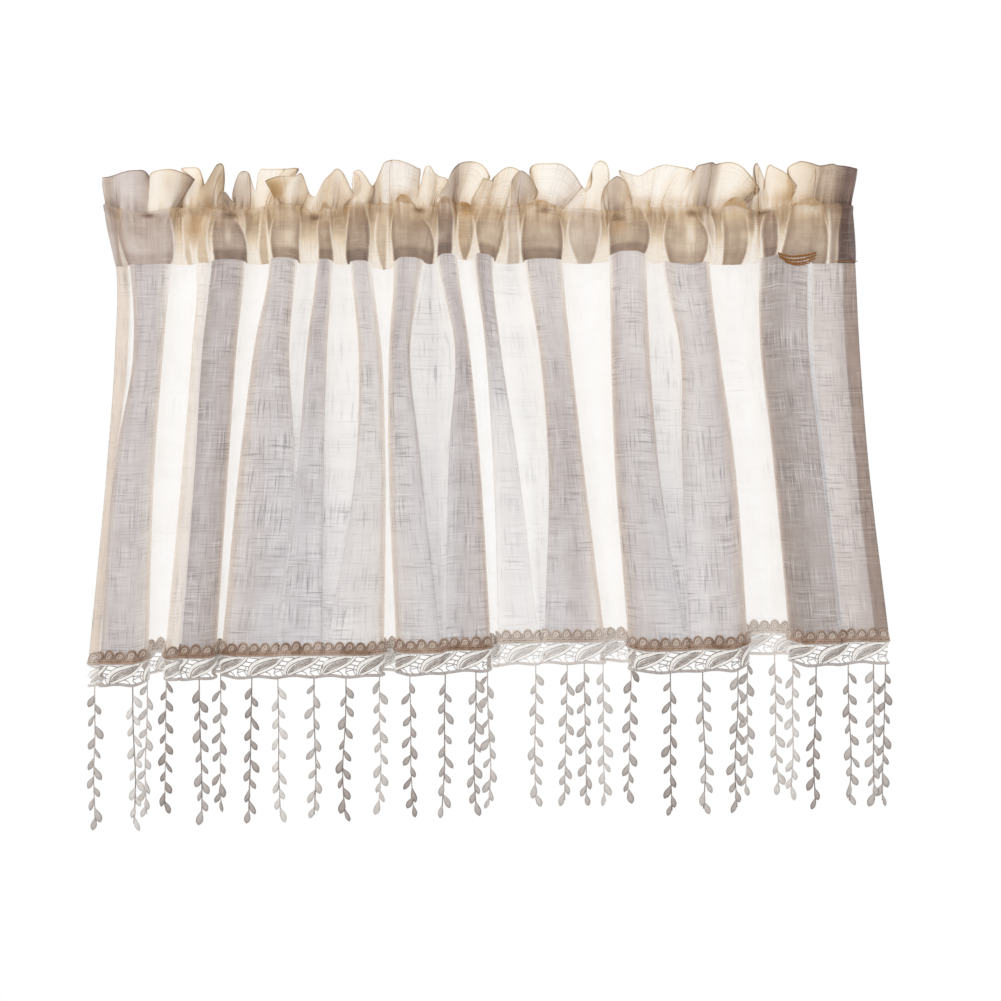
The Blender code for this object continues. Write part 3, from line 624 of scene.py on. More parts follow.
def heading_linen_material():
    """The same linen gathered: thin and pale at the ruffle's rim, golden where light comes
    through the gathers, taupe on the pocket's bulges and brown where it is four deep."""
    material, add, dark, light, tone, grey_pink, golden = slub_linen(
        "gathered slub linen", ("tone", "grey_pink", "golden"), 48.0, 0.07)
    warm = add("ValToRGB", {"stops": [(0.0, "#fffcf5"), (0.2, "#fbf0de"), (0.42, "#e3cda8"),
                                      (0.62, "#b9a185"), (0.8, "#98826e"), (1.0, "#64493b")]},
               Fac=tone)
    cool = add("ValToRGB", {"stops": [(0.0, "#fbf7f4"), (0.5, "#c3b1a8"), (0.8, "#947c74"),
                                      (1.0, "#5c4540")]}, Fac=tone)
    colour = add("Mix", {"data_type": "RGBA"}, in_0=grey_pink, in_6=warm, in_7=cool)
    # Light that comes through several crossing layers turns golden
    colour = laid_over(add, colour, [(golden, 0.74, "#cda468"), (dark, 0.26, "#7c6c60"),
                                     (light, 0.16, "#fff4e0")])
    cover = add("MapRange", {"From Max": 0.7, "To Min": 0.42, "To Max": 0.92}, Value=tone)
    sheer(add, colour, cover)
    return material


def yarn(name, light_hex, dark_hex, far_hex, grain, bump):
    """Matt twisted yarn, unevenly dyed. It pales
    towards the back of the folds, where the light comes through the cloth."""
    material, add = new_material(name)
    place = add("TexCoord").outputs["Object"]
    dyed = add("TexNoise", {"Scale": grain, "Detail": 3.0, "Roughness": 0.6}, Vector=place)
    patches = add("MapRange", {"From Min": 0.34, "From Max": 0.66}, Value=dyed)
    colour = add("Mix", {"data_type": "RGBA", 6: dark_hex, 7: light_hex}, in_0=patches)
    depth = add("SeparateXYZ", Vector=place).outputs["Y"]
    near = add("MapRange", {"From Min": -0.003, "From Max": -0.019}, Value=depth)
    colour = add("Mix", {"data_type": "RGBA", 6: far_hex}, in_0=near, in_7=colour)
    fine = add("TexNoise", {"Scale": grain * 4, "Detail": 2.0, "Roughness": 0.6}, Vector=place)
    relief = add("Bump", {"Strength": bump, "Distance": 0.0004}, Height=fine)
    shader = add("BsdfPrincipled", {"Roughness": 0.9, "Specular IOR Level": 0.2},
                 Base_Color=colour, Normal=relief)
    add("OutputMaterial", Surface=shader)
    return material


def leaf_cotton():
    """Thin starched cotton, cut out and dyed unevenly: it is darker towards its cut rim,
    and some tassels are nearly undyed."""
    material, add = new_material("cut cotton leaf")
    place = add("TexCoord").outputs["Object"]
    dyed, rim = (add("Attribute", {"attribute_name": key}).outputs["Fac"]
                 for key in ("dyed", "rim"))
    middle, edge = (add("Mix", {"data_type": "RGBA", 6: undyed, 7: full}, in_0=dyed)
                    for undyed, full in (("#f1eeeb", "#b3aaa6"), ("#dcd7d3", "#7c7270")))
    near_rim = add("MapRange", {"From Min": 0.25}, Value=rim)
    colour = add("Mix", {"data_type": "RGBA"}, in_0=near_rim, in_6=middle, in_7=edge)
    cloudy = add("TexNoise", {"Scale": 260.0, "Detail": 3.0, "Roughness": 0.6}, Vector=place)
    patches = add("MapRange", {"From Min": 0.34, "From Max": 0.66, "To Max": 0.3}, Value=cloudy)
    colour = add("Mix", {"data_type": "RGBA", 7: "#a0948c"}, in_0=patches, in_6=colour)
    shader = add("BsdfPrincipled", {"Roughness": 0.9, "Specular IOR Level": 0.2}, Base_Color=colour)
    add("OutputMaterial", Surface=shader)
    return material


def dress(obj, material, slot, *nodes):
    """Gives a piece its material and hides the CAD nodes that it takes the place of. Its slot is
    not used.
    """
    obj.data.materials.append(material)
    if nodes:
        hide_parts(*nodes)
    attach(obj, "root")
    return obj


panel_linen = panel_linen_material()
heading_linen = heading_linen_material()
braid_dark = yarn("twisted gimp cord", "#c1a999", "#927461", "#ece3db", 60.0, 0.5)
braid_light = yarn("wound gimp core", "#d8cabf", "#bba697", "#f1e9e2", 60.0, 0.5)
lace_white = yarn("bleached guipure cord", "#fffefc", "#f0ece8", "#ffffff", 500.0, 0.3)
lace_body = yarn("guipure satin stitch", "#c9c1bc", "#a59b95", "#efebe8", 500.0, 0.4)
# Painted shadow: brown cords that show along both sides of the lace's white cords
lace_shade = yarn("painted cord shadow", "#b9aa9e", "#9a8a7e", "#e6ded7", 500.0, 0.3)
lace_grey = yarn("guipure bars", "#c4beba", "#a49d98", "#f0ece9", 500.0, 0.3)
edge_cord = yarn("undyed edge cord", "#c6bfbc", "#a8a09d", "#e9e3de", 500.0, 0.4)
leaf_cloth = leaf_cotton()
strand_thread = yarn("cotton thread", "#b3aaa5", "#8f8681", "#ddd6d1", 600.0, 0.4)
brown_thread = yarn("brown sewing thread", "#a5733f", "#7f5530", "#b98a58", 900.0, 0.3)


# ---- The hanging panel ----

PANEL_COLUMNS = 640
PANEL_ROWS = 90
HEM_COLUMNS = 6  # of each side hem

density = np.array([FOLD_DENSITY[row[0]] for row in EDGES])
sides_fade = np.array([SIDES_FADE.get(row[0], (0.0, 0.0)) for row in EDGES])


def smooth_step(value, low, high):
    u = np.clip((value - low) / (high - low), 0.0, 1.0)
    return u * u * (3 - 2 * u)


def panel_level(share):
    return LEVELS["seam"] + share * (LEVELS["hem"] - LEVELS["seam"])


def fold_density(s, share):
    """The table's density along the cloth, which changes down the first half of its drop."""
    down = smooth_step(share, 0.05, 0.55)
    left, right, behind = (density[:, :3] + down * (density[:, 3:6] - density[:, :3])).T
    values = in_turn(left * 0.4, left, left, right, right, right * 0.4, behind)
    return np.interp(s, cloth.station_s, values)


def fold_sides(s, share):
    """How much of a fold's rounded side each place is: more where the cloth behind it lies
    deep, and nothing where two folds have run into one. It gives the sides their beige, partly
    for more layers seen edge on and partly as painted shade, and places the painted highlight
    along a fold's edge."""
    front, back = cloth.depths(panel_level(share))
    flatter = smooth_step(LEVELS["seam"] - panel_level(share), 10.0, 170.0)
    left, right = (smooth_step(behind - front, 6.0, 22.0) * (1 - fades * flatter)
                   for behind, fades in zip((np.append(back[:1], back[:-1]), back), sides_fade.T))
    own = density[:, 6]
    values = in_turn(0.6 * left, np.maximum(left, own), np.maximum(0.25 * left, own),
                     np.maximum(0.25 * right, own), np.maximum(right, own), 0.6 * right, 0.0 * own)
    return np.interp(s, cloth.station_s, values)


def panel_points(s, share):
    """The panel's points at a share of its drop: a little unevenness on top of the folds."""
    points, normals = cloth.section(panel_level(share), s)
    top = seam_height(s)
    foot = cloth.column("hem", "hem_back", s)
    ripple = 0.6 * wander(s + 9 * share, 3, 6, 95.0) * math.sin(math.pi * min(1.0, share + 0.15))
    return points + normals * ripple[:, None], normals, top + share * (foot - top)


def panel_tone(points, normals, s, share, sides):
    """How grey the cloth looks: more on the folds that stand forward, which is painted shade, a
    little less in the middle of a wide one, and least on the thin line of light along a fold's very
    edge, which is a painted highlight."""
    # Painted shade: the further forward a fold stands, the greyer it is
    forward = smooth_step(-points[:, 1], -8.0, 22.0)
    # Painted highlight: a thin line of light along a fold's very edge
    edge = smooth_step(np.abs(normals[:, 0]), 0.75, 0.97)
    tone = 0.16 + 0.52 * forward + fold_density(s, share) + sides * (0.01 * forward - 0.26 * edge)
    tone += 0.045 * wander(s, 31, 5, 60.0) - 0.05 * wander(s + 14 * share, 37, 3, 75.0) * forward
    return tone


def make_panel():
    inner = np.linspace(0.0, cloth.width, PANEL_COLUMNS)
    left = np.linspace(SIDE_HEM, 1.0, HEM_COLUMNS)
    right = np.linspace(cloth.width - 1.0, cloth.width - SIDE_HEM - 2, HEM_COLUMNS)
    s = np.concatenate([left, inner, right])
    # The side hems lie just behind the cloth, and go on beyond its edges on the flat cloth
    turned_in = np.linspace(0.9, 0.5, HEM_COLUMNS)
    behind = np.concatenate([turned_in, np.zeros(PANEL_COLUMNS), turned_in[::-1]])
    unrolled = np.concatenate([-left, inner, 2 * cloth.width - right])
    at_side = 1 - smooth_step(np.minimum(s, cloth.width - s), SIDE_HEM, SIDE_HEM + 2.0)
    place, flat, tones, turned = [], [], [], []
    for share in np.linspace(0.0, 1.0, PANEL_ROWS):
        points, normals, z = panel_points(inner, share)
        sides = fold_sides(inner, share)
        x, y = (np.interp(s, inner, points[:, k]) - np.interp(s, inner, normals[:, k]) * behind
                for k in (0, 1))
        place.append(np.column_stack([x, y, np.interp(s, inner, z)]))
        drop = share * (LEVELS["seam"] - LEVELS["hem"])
        flat.append(np.column_stack([unrolled, np.full(len(s), -drop)]))
        tones.append(np.interp(s, inner, panel_tone(points, normals, inner, share, sides)))
        turned.append(np.maximum(np.interp(s, inner, sides), 0.9 * at_side))
    obj = grid_piece("linen_panel", np.array(place), np.array(flat),
                     {"tone": np.array(tones), "turned": np.array(turned)})
    return dress(obj, panel_linen, "sheer_linen", "panel")


# ---- The heading ----

POCKET_FRONT = -14.5  # the flattest part of the pocket's front wall
POCKET_BACK = 13.0
STITCHED_IN = 0.7  # how deep the folds are at the upper stitches, against below
POCKET_ROUND = 0.55  # power of a sine: less makes the pocket's section squarer
BULGE_MIDDLE = 0.45  # share of the pocket's height at the table's middle pair of sides
FULL_BULGE = 8  # how far out a bulge stands that has a sharp outline
HEADING_COLUMNS = 1150
# Shares of their height at which the walls and the ruffle's layers have a row of points
FRONT_ROWS = np.concatenate([np.linspace(0.0, 0.08, 5), np.linspace(0.11, 1.0, 30)])
BACK_ROWS = np.linspace(0.0, 1.0, 19)[1:]
RIM_ROWS = (0.968, 0.984, 1.0)
RUFFLE_FRONT_ROWS = (*np.linspace(0.0, 0.94, 17)[1:], *RIM_ROWS)
RUFFLE_BACK_ROWS = (*RIM_ROWS[::-1], *np.linspace(0.94, 0.0, 10))
STITCHING_OUT = -20.0  # and further out on the bulge at its left
BULGE_STITCHING_OUT = -23.6


def bulge_at(x, share, column):
    """What the pocket's bulges give at each x, at a share of the pocket's height. Their
    sides are round between the three heights that the table gives."""
    which = BULGE_COLUMNS.index("dense" if column == "side" else column)
    middle = BULGE_MIDDLE
    bend = np.array(((share - middle) * (share - 1) / middle,
                     -share * (share - 1) / (middle * (1 - middle)),
                     share * (share - middle) / (1 - middle)))
    total = np.zeros_like(x)
    for k, bulge in enumerate(BULGES):
        left, right = bend @ np.array(bulge[:3], float) - CENTRE_LINE
        left += 0.9 * math.sin(6.5 * share + 1.9 * k)
        right += 0.9 * math.sin(5.5 * share + 2.7 * k)
        inside = np.minimum(x - left, right - x)
        soft = 3.0 if bulge[3] >= FULL_BULGE else 5.5
        if column == "side":
            shape = np.exp(-((inside - 3.6) / 2.4) ** 2) * min(1.0, (right - left) / 20)
        elif column in ("out", "roll", "sag"):
            shape = np.sin(math.pi * np.clip((x - left) / (right - left), 0.0, 1.0)) ** 0.6
        else:
            shape = smooth_step(inside, -0.4 * soft, soft)
        total = np.maximum(total, bulge[which] * shape)
    return total


def blobs(table, x, z):
    """Soft spots from a table of (x, y, half width, half height, strength)."""
    total = np.zeros_like(x)
    for px, py, wide, tall, much in table:
        far = ((x + CENTRE_LINE - px) / wide) ** 2 + ((TOP_LINE - z - py) / tall) ** 2
        total = np.maximum(total, much * np.exp(-far))
    return total


def seam_height(s):
    """Where the pocket's lower stitches run: a little lower under a full bulge."""
    points, _ = cloth.section(LEVELS["seam"], s)
    forward = smooth_step(-points[:, 1], 0.0, 6.0)
    return cloth.column("seam", "seam_back", s) - bulge_at(points[:, 0], 1.0, "sag") * forward

def rim_path(foot_x):
    """The ruffle's rim above each place along the upper stitches."""
    foot, rim, depth, height = np.array(RIM, float).T
    foot = foot - CENTRE_LINE
    values = np.column_stack([rim - CENTRE_LINE, depth, TOP_LINE - height])
    return cubic(values, foot, np.clip(foot_x, foot[0], foot[-1]))


def make_heading():
    s = np.linspace(0.0, cloth.width, HEADING_COLUMNS)
    seam = seam_height(s)
    foot_points, _ = cloth.section(LEVELS["row"], s)
    foot_points[:, 1] *= STITCHED_IN
    foot_x = foot_points[:, 0]
    rim = rim_path(foot_x)
    pleat = 1.4 * wander(s, 7, 4, 34.0) + 1.0 * wander(s, 11, 3, 15.0) + 0.6 * wander(s, 13, 3, 8.0)
    dip_x, dip_z = np.array(ROW_DIPS, float).T
    row_z = TOP_LINE - np.interp(foot_x, dip_x - CENTRE_LINE, dip_z) + 0.5 * wander(s, 5, 3, 40.0)
    tone_x, *ruffle_looks = np.array(RUFFLE_TONES, float).T
    ruffle_tone, ruffle_grey = (np.interp(foot_x, tone_x - CENTRE_LINE, look)
                                for look in ruffle_looks)
    puckers = [(x, y, 6.5, 2.8, 1.0) for x, y in PUCKERS]
    streaks = wander(s, 51, 6, 19.0)
    creases = wander(s, 61, 2, 8.5)
    at_end = 1 - smooth_step(np.minimum(s, cloth.width - s), 11.0, 15.0)
    places, tones, pinks, glows = [], [], [], []

    def pinch(z, reach):
        return np.exp(-((z - row_z) / reach) ** 2)

    def edge_on(points):
        return np.clip(np.abs(front_normals(points)[:, 0]) - 0.3, 0.0, 1.0)

    def keep(points, z, tone, pink, glow):
        places.append(np.column_stack([points, z]))
        tones.append(np.clip(tone + 0.03 * wander(s, 41, 5, 40.0), 0.0, 1.0))
        pinks.append(np.clip(pink, 0.0, 1.0))
        glows.append(glow)

    def front_looks(x, z, share, turned, low, grey, rolled):
        """The tone and the golden light of the pocket's front wall."""
        # Bunched most near the stitches, it is a little less dense low on the bulge
        dense = bulge_at(x, share, "dense") * np.interp(
            share, (0.4, 0.55, 0.76, 0.85), (1.0, 0.90, 0.88, 0.95))
        full = smooth_step(dense, 0.2, 0.45)
        golden_top = (1 - low) * (1 - 0.8 * grey)
        between = np.interp(share, (0.0, 0.3, 0.45, 0.6, 0.85, 1.0),
                            (0.56, 0.60, 0.53, 0.38, 0.18, 0.12))
        tone = between + full * (dense * (1.0 - 0.24 * golden_top) - between)
        tone += 0.11 * smooth_step(share, 0.77, 0.85) * bulge_at(x, share, "band")
        # A bulge turns away darker at its sides, but its very edge is one thin layer,
        # lit from behind, and so is the top that rolls over the stitches
        tone += 0.12 * bulge_at(x, share, "side") - 0.03 * full
        tone -= 0.24 * np.clip(4 * full * (1 - full), 0, 1) * smooth_step(share, 0.15, 0.4)
        tone -= 0.27 * rolled * smooth_step(bulge_at(x, share, "roll"), 2.0, 6.0)
        tone -= blobs(PALE_SPOTS, x, z)
        # Darker where the cloth turns away near the stitches: more layers seen edge on, and painted
        # shade
        tone += 0.12 * turned + (0.10 * streaks + 0.13 * creases) * pinch(z, 16.0)
        # Where no bulge rolls over the stitches, the ruffle's folds run on into the pocket
        runs_on = 1 - smooth_step(bulge_at(x, 0.05, "roll"), 1.0, 5.0)
        runs_on *= 1 - smooth_step(share, 0.0, 0.22)
        tone += 0.8 * runs_on * (ruffle_tone + 0.14 - tone)
        tone += 0.9 * blobs(puckers, x, z) * np.maximum(1.0 - tone, 0.0)
        glow = np.maximum(blobs(GLOWS, x, z), (0.36 + 0.22 * full) * golden_top**1.3)
        return np.maximum(tone, 0.60 * np.minimum(glow, 1.0)), glow

    def pocket(share, side):
        """One wall of the pocket: share 0 at the upper stitches, 1 at the seam."""
        level = LEVELS["row"] + share * (LEVELS["seam"] - LEVELS["row"])
        points, normals = cloth.section(level, s)
        points[:, 1] *= STITCHED_IN + (1 - STITCHED_IN) * share
        z = row_z + share * (seam - row_z)
        part = abs(math.sin(math.pi * share)) ** POCKET_ROUND
        rolled = smooth_step(share, 0.0, 0.06) * (1 - smooth_step(share, 0.08, 0.34))
        x, y = points[:, 0], points[:, 1].copy()
        if side < 0:
            y += max(part, 0.9 * rolled) * (POCKET_FRONT - bulge_at(x, share, "out") - y) * 0.95
            z = z + rolled * bulge_at(x, share, "roll")
            y += 2.5 * blobs(puckers, x, z)
        else:
            y += part * (np.maximum(y * 0.35 + 6.0, POCKET_BACK) - y)
        points = np.column_stack([x, y]) + normals * (pleat * pinch(z, 11.0) - side * 0.5)[:, None]
        turned = edge_on(points) * pinch(z, 16.0)
        low = smooth_step(share, 0.02, 0.7)
        grey = bulge_at(x, share, "grey")
        if side < 0:
            tone, glow = front_looks(x, z, share, turned, low, grey, rolled)
        else:
            tone = 0.30 - 0.20 * low + 0.08 * streaks * pinch(z, 18.0)
            # Darker where the cloth turns away, partly painted shade, and darker at the doubled
            # ends
            tone += 0.1 * turned + 0.35 * at_end
            glow = 0.3 * blobs(GLOWS, x, z)
        keep(points, z, tone, grey, glow)

    def ruffle(share, side):
        """One layer of the ruffle: share 0 at the stitches, 1 at the top fold."""
        points = foot_points + (rim[:, :2] - foot_points) * share**1.25
        bare_x = points[:, 0].copy()
        z = row_z + share * (rim[:, 2] - row_z)
        puff = 0.5 + 1.7 * math.sin(math.pi * share) ** 0.8 * (1 + 0.6 * wander(s, 17, 4, 90.0))
        points += front_normals(points) * (pleat * pinch(z, 13.0) - side * puff)[:, None]
        above = z - row_z
        turned = edge_on(points)
        tone = ruffle_tone + 0.12 * np.exp(-above / 8.0)
        tone += (0.12 * streaks + 0.12 * creases) * np.exp(-above / 12.0)
        # Darker where the cloth turns away: more layers seen edge on, and painted shade
        tone += 0.14 * turned * (1 - 0.6 * share)
        # Seen edge on, and along its top fold, the cloth is several layers deep
        tone += 0.20 * smooth_step(turned, 0.56, 0.69)
        if side > 0:
            tone *= 0.6
        if share > 0.98:
            tone += 0.30
        glow = blobs(GLOWS, bare_x, z) * (1.0 if side < 0 else 0.4)
        keep(points, z, np.maximum(tone, 0.40 * np.minimum(glow, 1.0)), ruffle_grey, glow)

    # Up the front from the seam, over the ruffle's top fold and down the back
    for layer, side, rows in ((pocket, -1, FRONT_ROWS[::-1]), (ruffle, -1, RUFFLE_FRONT_ROWS),
                              (ruffle, 1, RUFFLE_BACK_ROWS), (pocket, 1, BACK_ROWS)):
        for share in rows:
            layer(share, side)
    place = np.array(places)
    drops = np.abs(np.diff(place[:, :, 2], axis=0)).mean(axis=1)
    flat = np.stack(np.meshgrid(s, np.concatenate([[0.0], np.cumsum(drops)])), axis=-1)
    looks = {"tone": np.array(tones), "grey_pink": np.array(pinks), "golden": np.array(glows)}
    return dress(grid_piece("linen_heading", place, flat, looks), heading_linen,
                 "heading_linen", "heading")


def make_stitching():
    """Brown thread that shows where the pocket's stitches are pulled open."""
    lines = []
    for stretch in STITCHING:
        line = smooth_line([(x - CENTRE_LINE, TOP_LINE - y, r) for x, y, r in stretch], 26)
        lines.append([(x, BULGE_STITCHING_OUT if x < 340 else STITCHING_OUT, z,
                       r * (1 + 0.25 * (-1) ** k)) for k, (x, z, r) in enumerate(line)])
    obj = finished("heading_stitching", tube_mesh("heading_stitching", lines, 1))
    return dress(obj, brown_thread, "heading_linen")


# ---- Braid ----

GROUND_COLUMNS = 8  # for each loop
GROUND_ROWS = 5
TWIST_STEP = 1.7


def trim(name, lines, resolution, material, slot, *nodes, up_cloth=False):
    """Cords that are drawn flat and sewn along the hem, as one piece."""
    mesh = tube_mesh(name, lines, resolution)
    lay_on_hem(mesh, up_cloth)
    return dress(finished(name, mesh), material, slot, *nodes)


def scalloped(x, pitch):
    """How high the braid's ground reaches at x: a round head for each loop."""
    return 8.2 + 4.2 * np.abs(np.sin(math.pi * x / pitch)) ** 0.45


def make_braid():
    loops = round(hem_long / BRAID_LOOP)
    pitch = hem_long / loops
    across = np.linspace(0.0, hem_long, loops * GROUND_COLUMNS + 1)
    place = []
    for share in np.linspace(0.0, 1.0, GROUND_ROWS):
        bulge = 1.1 + 0.7 * math.sin(math.pi * min(1.0, 0.25 + share * 0.75))
        place.append(np.column_stack([across, np.full(len(across), -bulge),
                                      share * scalloped(across, pitch)]))
    place = np.array(place)
    ground = grid_piece("braid_ground", place, place[:, :, (0, 2)], {})
    lay_on_hem(ground.data, True)
    dress(ground, braid_light, "gimp_braid", "braid")
    arches, filling, twist = [], [], []
    for k in range(loops):
        c = (k + 0.5) * pitch
        high = 1.0 + 0.06 * math.sin(2.7 * k)
        arch = [(c - 5.6, 0.8), (c - 5.2, 4.2), (c - 4.4, 8.2), (c - 3.0, 11.2), (c, 12.7),
                (c + 3.0, 11.2), (c + 4.2, 8.2), (c + 3.2, 5.2), (c + 0.4, 3.2), (c - 1.6, 1.0)]
        curl = [(c - 2.6, 5.4), (c - 2.3, 8.4), (c - 0.2, 10.2), (c + 2.0, 8.8), (c + 1.8, 6.4),
                (c - 0.4, 5.4)]
        for group, drawn, thick, count, out in ((arches, arch, 0.72, 18, -2.4),
                                                (filling, curl, 0.95, 10, -2.2)):
            line = smooth_line([(*point, thick) for point in drawn], count)
            group.append([(x, out, z * high, r) for x, z, r in line])
    along = np.arange(0.0, hem_long + 0.1, TWIST_STEP)
    for level, bulge, phase in ((1.2, 1.15, 0.0), (3.3, 1.0, 1.6)):
        twist.append([(x, -2.3 - 0.35 * math.sin(x * 1.5 + phase),
                       level + 0.3 * math.sin(x * 0.9 + phase),
                       bulge * (1 + 0.16 * math.sin(x * 1.85 + phase))) for x in along])
    return [ground,
            trim("braid_loops", arches + twist, 0, braid_dark, "gimp_braid", up_cloth=True),
            trim("braid_core", filling, 0, braid_light, "gimp_braid", up_cloth=True)]


# ---- Lace ----

END_GAP = 0.4  # between the lace's cords and the curtain's sides
EDGE_STEP = 3.0

# Cords of one repeat, drawn flat: x along the hem, z up from the hem, radius
LEAF_CORDS = (
    [(0.2, -19.4, 0.8), (0.2, -15.5, 1.3), (2.6, -10.4, 1.9), (8.0, -6.4, 2.1),
     (15.6, -3.6, 1.9), (25.0, -1.4, 1.3)],
    [(3.6, -19.2, 0.9), (10.5, -16.4, 1.3), (18.5, -13.0, 1.5), (26.0, -9.0, 1.5),
     (31.5, -4.8, 1.4), (34.6, -0.8, 1.1)],
)
LEAF_BODY = (
    [(2.6, -18.2, 0.9), (6.2, -13.4, 1.4), (12.0, -9.6, 1.7), (19.6, -6.6, 1.6),
     (28.0, -2.8, 0.9)],
    [(3.4, -18.0, 0.6), (9.4, -13.6, 0.9), (16.4, -10.4, 1.0), (23.4, -7.2, 0.9),
     (29.6, -2.6, 0.6)],
)
LADDER_BARS = (
    [(36.0, -1.6, 0.6), (46.6, -3.0, 0.6)],
    [(32.6, -5.4, 0.6), (40.4, -7.0, 0.6)],
    [(28.6, -9.2, 0.6), (38.6, -11.0, 0.6)],
    [(23.6, -12.4, 0.6), (31.0, -13.6, 0.6), (37.0, -15.4, 0.6)],
    [(34.6, -9.8, 0.5), (32.0, -14.2, 0.5), (35.6, -20.6, 0.5)],
    [(15.5, -15.6, 0.5), (20.5, -17.8, 0.5), (22.0, -20.6, 0.5)],
    [(26.4, -12.8, 0.5), (24.5, -16.8, 0.5), (28.5, -20.6, 0.5)],
    [(24.6, -16.4, 0.5), (32.4, -14.4, 0.5)],
)


def make_lace():
    count = round(hem_long / LACE_REPEAT)
    repeat = hem_long / count
    scale = repeat / LACE_REPEAT
    cords, cord_shadows, bodies, bars = [], [], [], []
    for k in range(-1, count):
        for group, kind, out in ((cords, LEAF_CORDS, -0.6), (bodies, LEAF_BODY, -0.2),
                                 (bars, LADDER_BARS, 0.2)):
            for cord in kind:
                line = smooth_line(cord, 11 if len(cord) > 3 else 5)
                line = [(k * repeat + x * scale, out, z, r) for x, z, r in line]
                line = [point for point in line if END_GAP <= point[0] <= hem_long - END_GAP]
                if len(line) > 1:
                    group.append(line)
                    if kind is LEAF_CORDS:
                        # A wider brown cord just behind each white cord shows along both its sides
                        # as a painted shadow
                        cord_shadows.append([(x, y + 0.9, z, r + 0.5) for x, y, z, r in line])
    along = np.arange(0.0, hem_long + 0.1, EDGE_STEP)
    top = [(x, 0.0, -0.9, 0.9) for x in along]
    foot = [(x, 0.0, -20.9 - 0.8 * math.cos(2 * math.pi * (x / repeat - 0.75)), 1.5) for x in along]
    return [trim("lace_cords", cords + [top], 1, lace_white, "guipure_lace", "lace"),
            trim("lace_cord_shadows", cord_shadows, 0, lace_shade, "guipure_lace"),
            trim("lace_ladders", bars, 1, lace_grey, "guipure_lace"),
            trim("lace_edge_cord", [foot], 2, edge_cord, "leaf_tassel", "leaf_fringe"),
            trim("lace_leaf_bodies", bodies, 1, lace_body, "guipure_lace")]


# ---- Leaf strands ----


def leaf_mesh():
    """One cupped cloth leaf along -Z from its root, narrow there and round at its end, and
    how near each of its points is to its rim."""
    bm = bmesh.new()
    bmesh.ops.create_grid(bm, x_segments=4, y_segments=7, size=1.0)
    rims = []
    for v in bm.verts:
        along = ((1 - v.co.y) / 2) ** 0.85
        half = LEAF_HALF * math.sin(math.pi * min(1.0, along**1.45 * 0.985 + 0.015)) ** 0.72
        cup = (1 - v.co.x**2) * math.sin(math.pi * along) + 0.8 * math.sin(math.pi * along * 0.9)
        rims.append(max(abs(v.co.x) ** 2, along**3))
        v.co = (v.co.x * half * MM, -cup * MM, -LEAF_LONG * along * MM)
    mesh = bpy.data.meshes.new("leaf")
    bm.to_mesh(mesh)
    bm.free()
    return mesh, rims


def make_strands():
    threads, dyes = [], []
    leaves = bmesh.new()
    one, rims = leaf_mesh()
    for k, at in enumerate(TASSEL_PLACES):
        x, y, z = (float(np.interp(at, hem_s, values)) for values in (*hem_points.T, hem_z))
        z -= LACE_OFF + LACE_TALL + EDGE_CORD_DOWN
        sway = 3.5 * math.sin(1.9 * k)
        swing = 1.6 * math.sin(2.9 * k + 1.0)

        def hang(down):
            part = down / TASSEL_DROP
            return (x + (sway * math.sin(2.4 * part) + swing * math.sin(7.5 * part)) * part,
                    y + 1.4 * math.sin(5.1 * part + k) * part, z - down)

        threads.append([(*hang(down), STRAND_RADIUS)
                        for down in np.linspace(0.0, TASSEL_DROP, 15)])
        for leaf in range(LEAVES):
            side = 1 if (leaf + k) % 2 else -1
            low = max(0.0, (leaf - 8) / 4.0)
            # The last leaves lie closer together and hang straighter
            down = FIRST_LEAF + leaf * LEAF_PITCH - 3.2 * low + 1.4 * math.sin(5.3 * leaf + 2.2 * k)
            turn = math.radians(27 + 8 * math.sin(3.1 * leaf + k) - 11 * low) * -side
            twist = math.radians(42 * math.sin(2.3 * leaf + 1.7 * k))
            size = 0.98 + 0.13 * math.sin(4.7 * leaf + 2.1 * k)
            dyes += [TASSEL_DYES[k] * (1 + 0.18 * math.sin(6.1 * leaf + 3.3 * k))] * len(rims)
            copy = one.copy()
            copy.transform(Matrix.Translation(Vector(hang(down)) * MM)
                           @ Matrix.Rotation(turn, 4, "Y")
                           @ Matrix.Rotation(twist, 4, "Z") @ Matrix.Scale(size, 4))
            leaves.from_mesh(copy)
            bpy.data.meshes.remove(copy)
    mesh = bpy.data.meshes.new("strand_leaves")
    leaves.to_mesh(mesh)
    leaves.free()
    bpy.data.meshes.remove(one)
    for key, values in (("rim", rims * (len(dyes) // len(rims))), ("dyed", dyes)):
        mesh.attributes.new(key, "FLOAT", "POINT").data.foreach_set("value", values)
    mesh.polygons.foreach_set("use_smooth", [True] * len(mesh.polygons))
    leaf_piece = finished("strand_leaves", mesh)
    thick = leaf_piece.modifiers.new("Cloth thickness", "SOLIDIFY")
    thick.thickness = LEAF_THICK * MM
    thread_piece = finished("strand_threads", tube_mesh("strand_threads", threads, 0))
    return [dress(leaf_piece, leaf_cloth, "leaf_tassel"),
            dress(thread_piece, strand_thread, "leaf_tassel")]


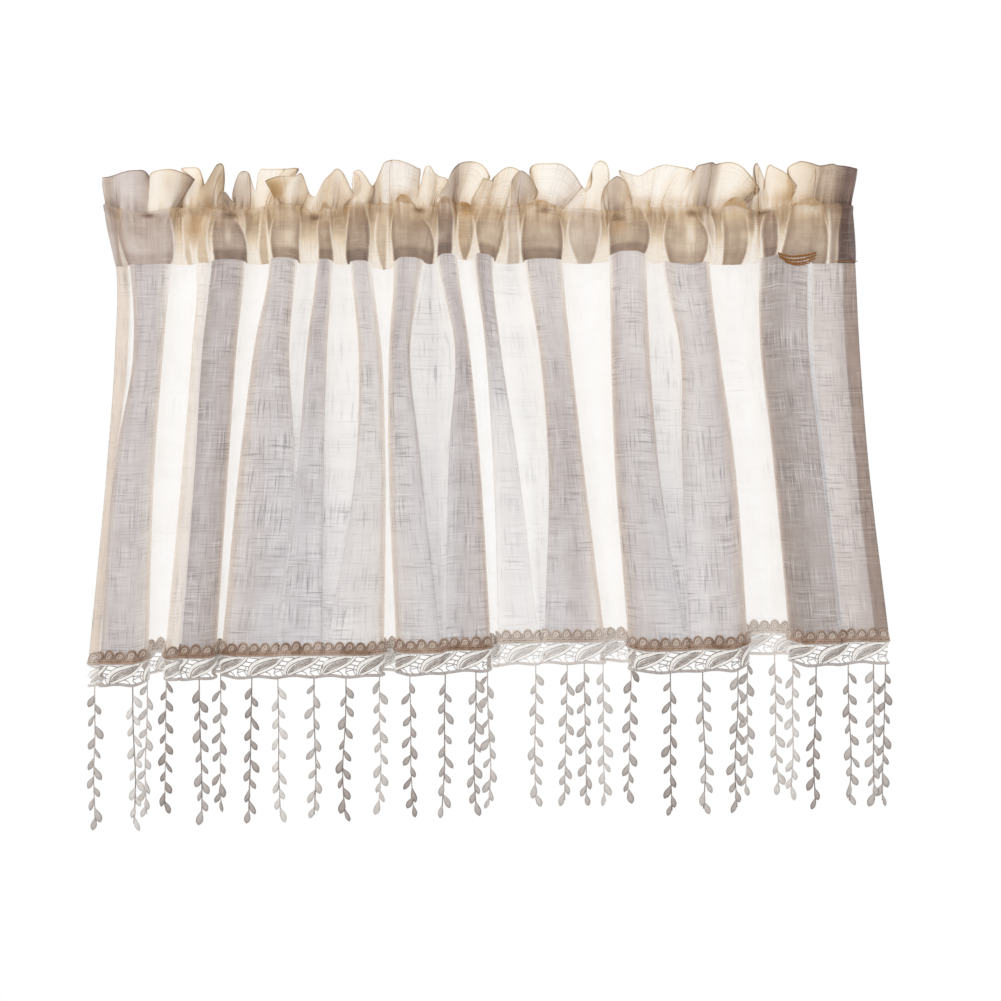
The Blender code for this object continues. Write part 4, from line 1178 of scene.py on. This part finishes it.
panel = make_panel()
heading = make_heading()
stitching = make_stitching()
braid = make_braid()
lace = make_lace()
strands = make_strands()


# ---- Stage, light and camera ----

FLOOR_RADIUS = 2.1  # metres, as is its level
FLOOR_LEVEL = -1.5


def make_stage():
    bm = bmesh.new()
    bmesh.ops.create_circle(bm, cap_ends=True, segments=64, radius=FLOOR_RADIUS)
    for v in bm.verts:
        v.co.z = FLOOR_LEVEL
    mesh = bpy.data.meshes.new("floor")
    bm.to_mesh(mesh)
    bm.free()
    floor = finished("floor", mesh)
    pale, add = new_material("pale floor")
    shader = add("BsdfDiffuse", {"Color": "#f4f2ef"})
    add("OutputMaterial", Surface=shader)
    mesh.materials.append(pale)


def area_light(name, place, turn, size, power, hex_colour):
    light = bpy.data.lights.new(name, "AREA")
    light.shape = "RECTANGLE"
    light.size, light.size_y = size
    light.energy = power
    light.color = linear(hex_colour)[:3]
    obj = bpy.data.objects.new(name, light)
    obj.location = place
    obj.rotation_euler = [math.radians(a) for a in turn]
    bpy.context.scene.collection.objects.link(obj)
    obj.visible_camera = False
    return obj


def make_light():
    world = bpy.data.worlds.new("studio")
    bpy.context.scene.world = world
    add = empty_tree(world)
    seen, fill = (add("Background", {"Color": "#ffffff", "Strength": strength})
                  for strength in (1.0, 0.86))
    path = add("LightPath")
    mix = add("MixShader", in_0=path.outputs["Is Camera Ray"], in_1=fill, in_2=seen)
    add("OutputWorld", Surface=mix)
    area_light("window", (0.0, 1.6, 0.1), (-90, 0, 0), (2.6, 2.2), 12.0, "#ffffff")
    area_light("key", (-0.9, -1.5, 1.1), (55, 0, -30), (1.2, 1.2), 9.0, "#fffaf2")


def make_camera():
    data = bpy.data.cameras.new("camera")
    data.lens = 65.0
    data.sensor_width = 36.0
    camera = bpy.data.objects.new("camera", data)
    bpy.context.scene.collection.objects.link(camera)
    camera.location = (0.0155, -1.80556, -0.3405)
    camera.rotation_euler = (math.radians(90), 0, 0)
    bpy.context.scene.camera = camera


make_stage()
make_light()
make_camera()
bpy.context.scene.view_settings.view_transform = "Standard"
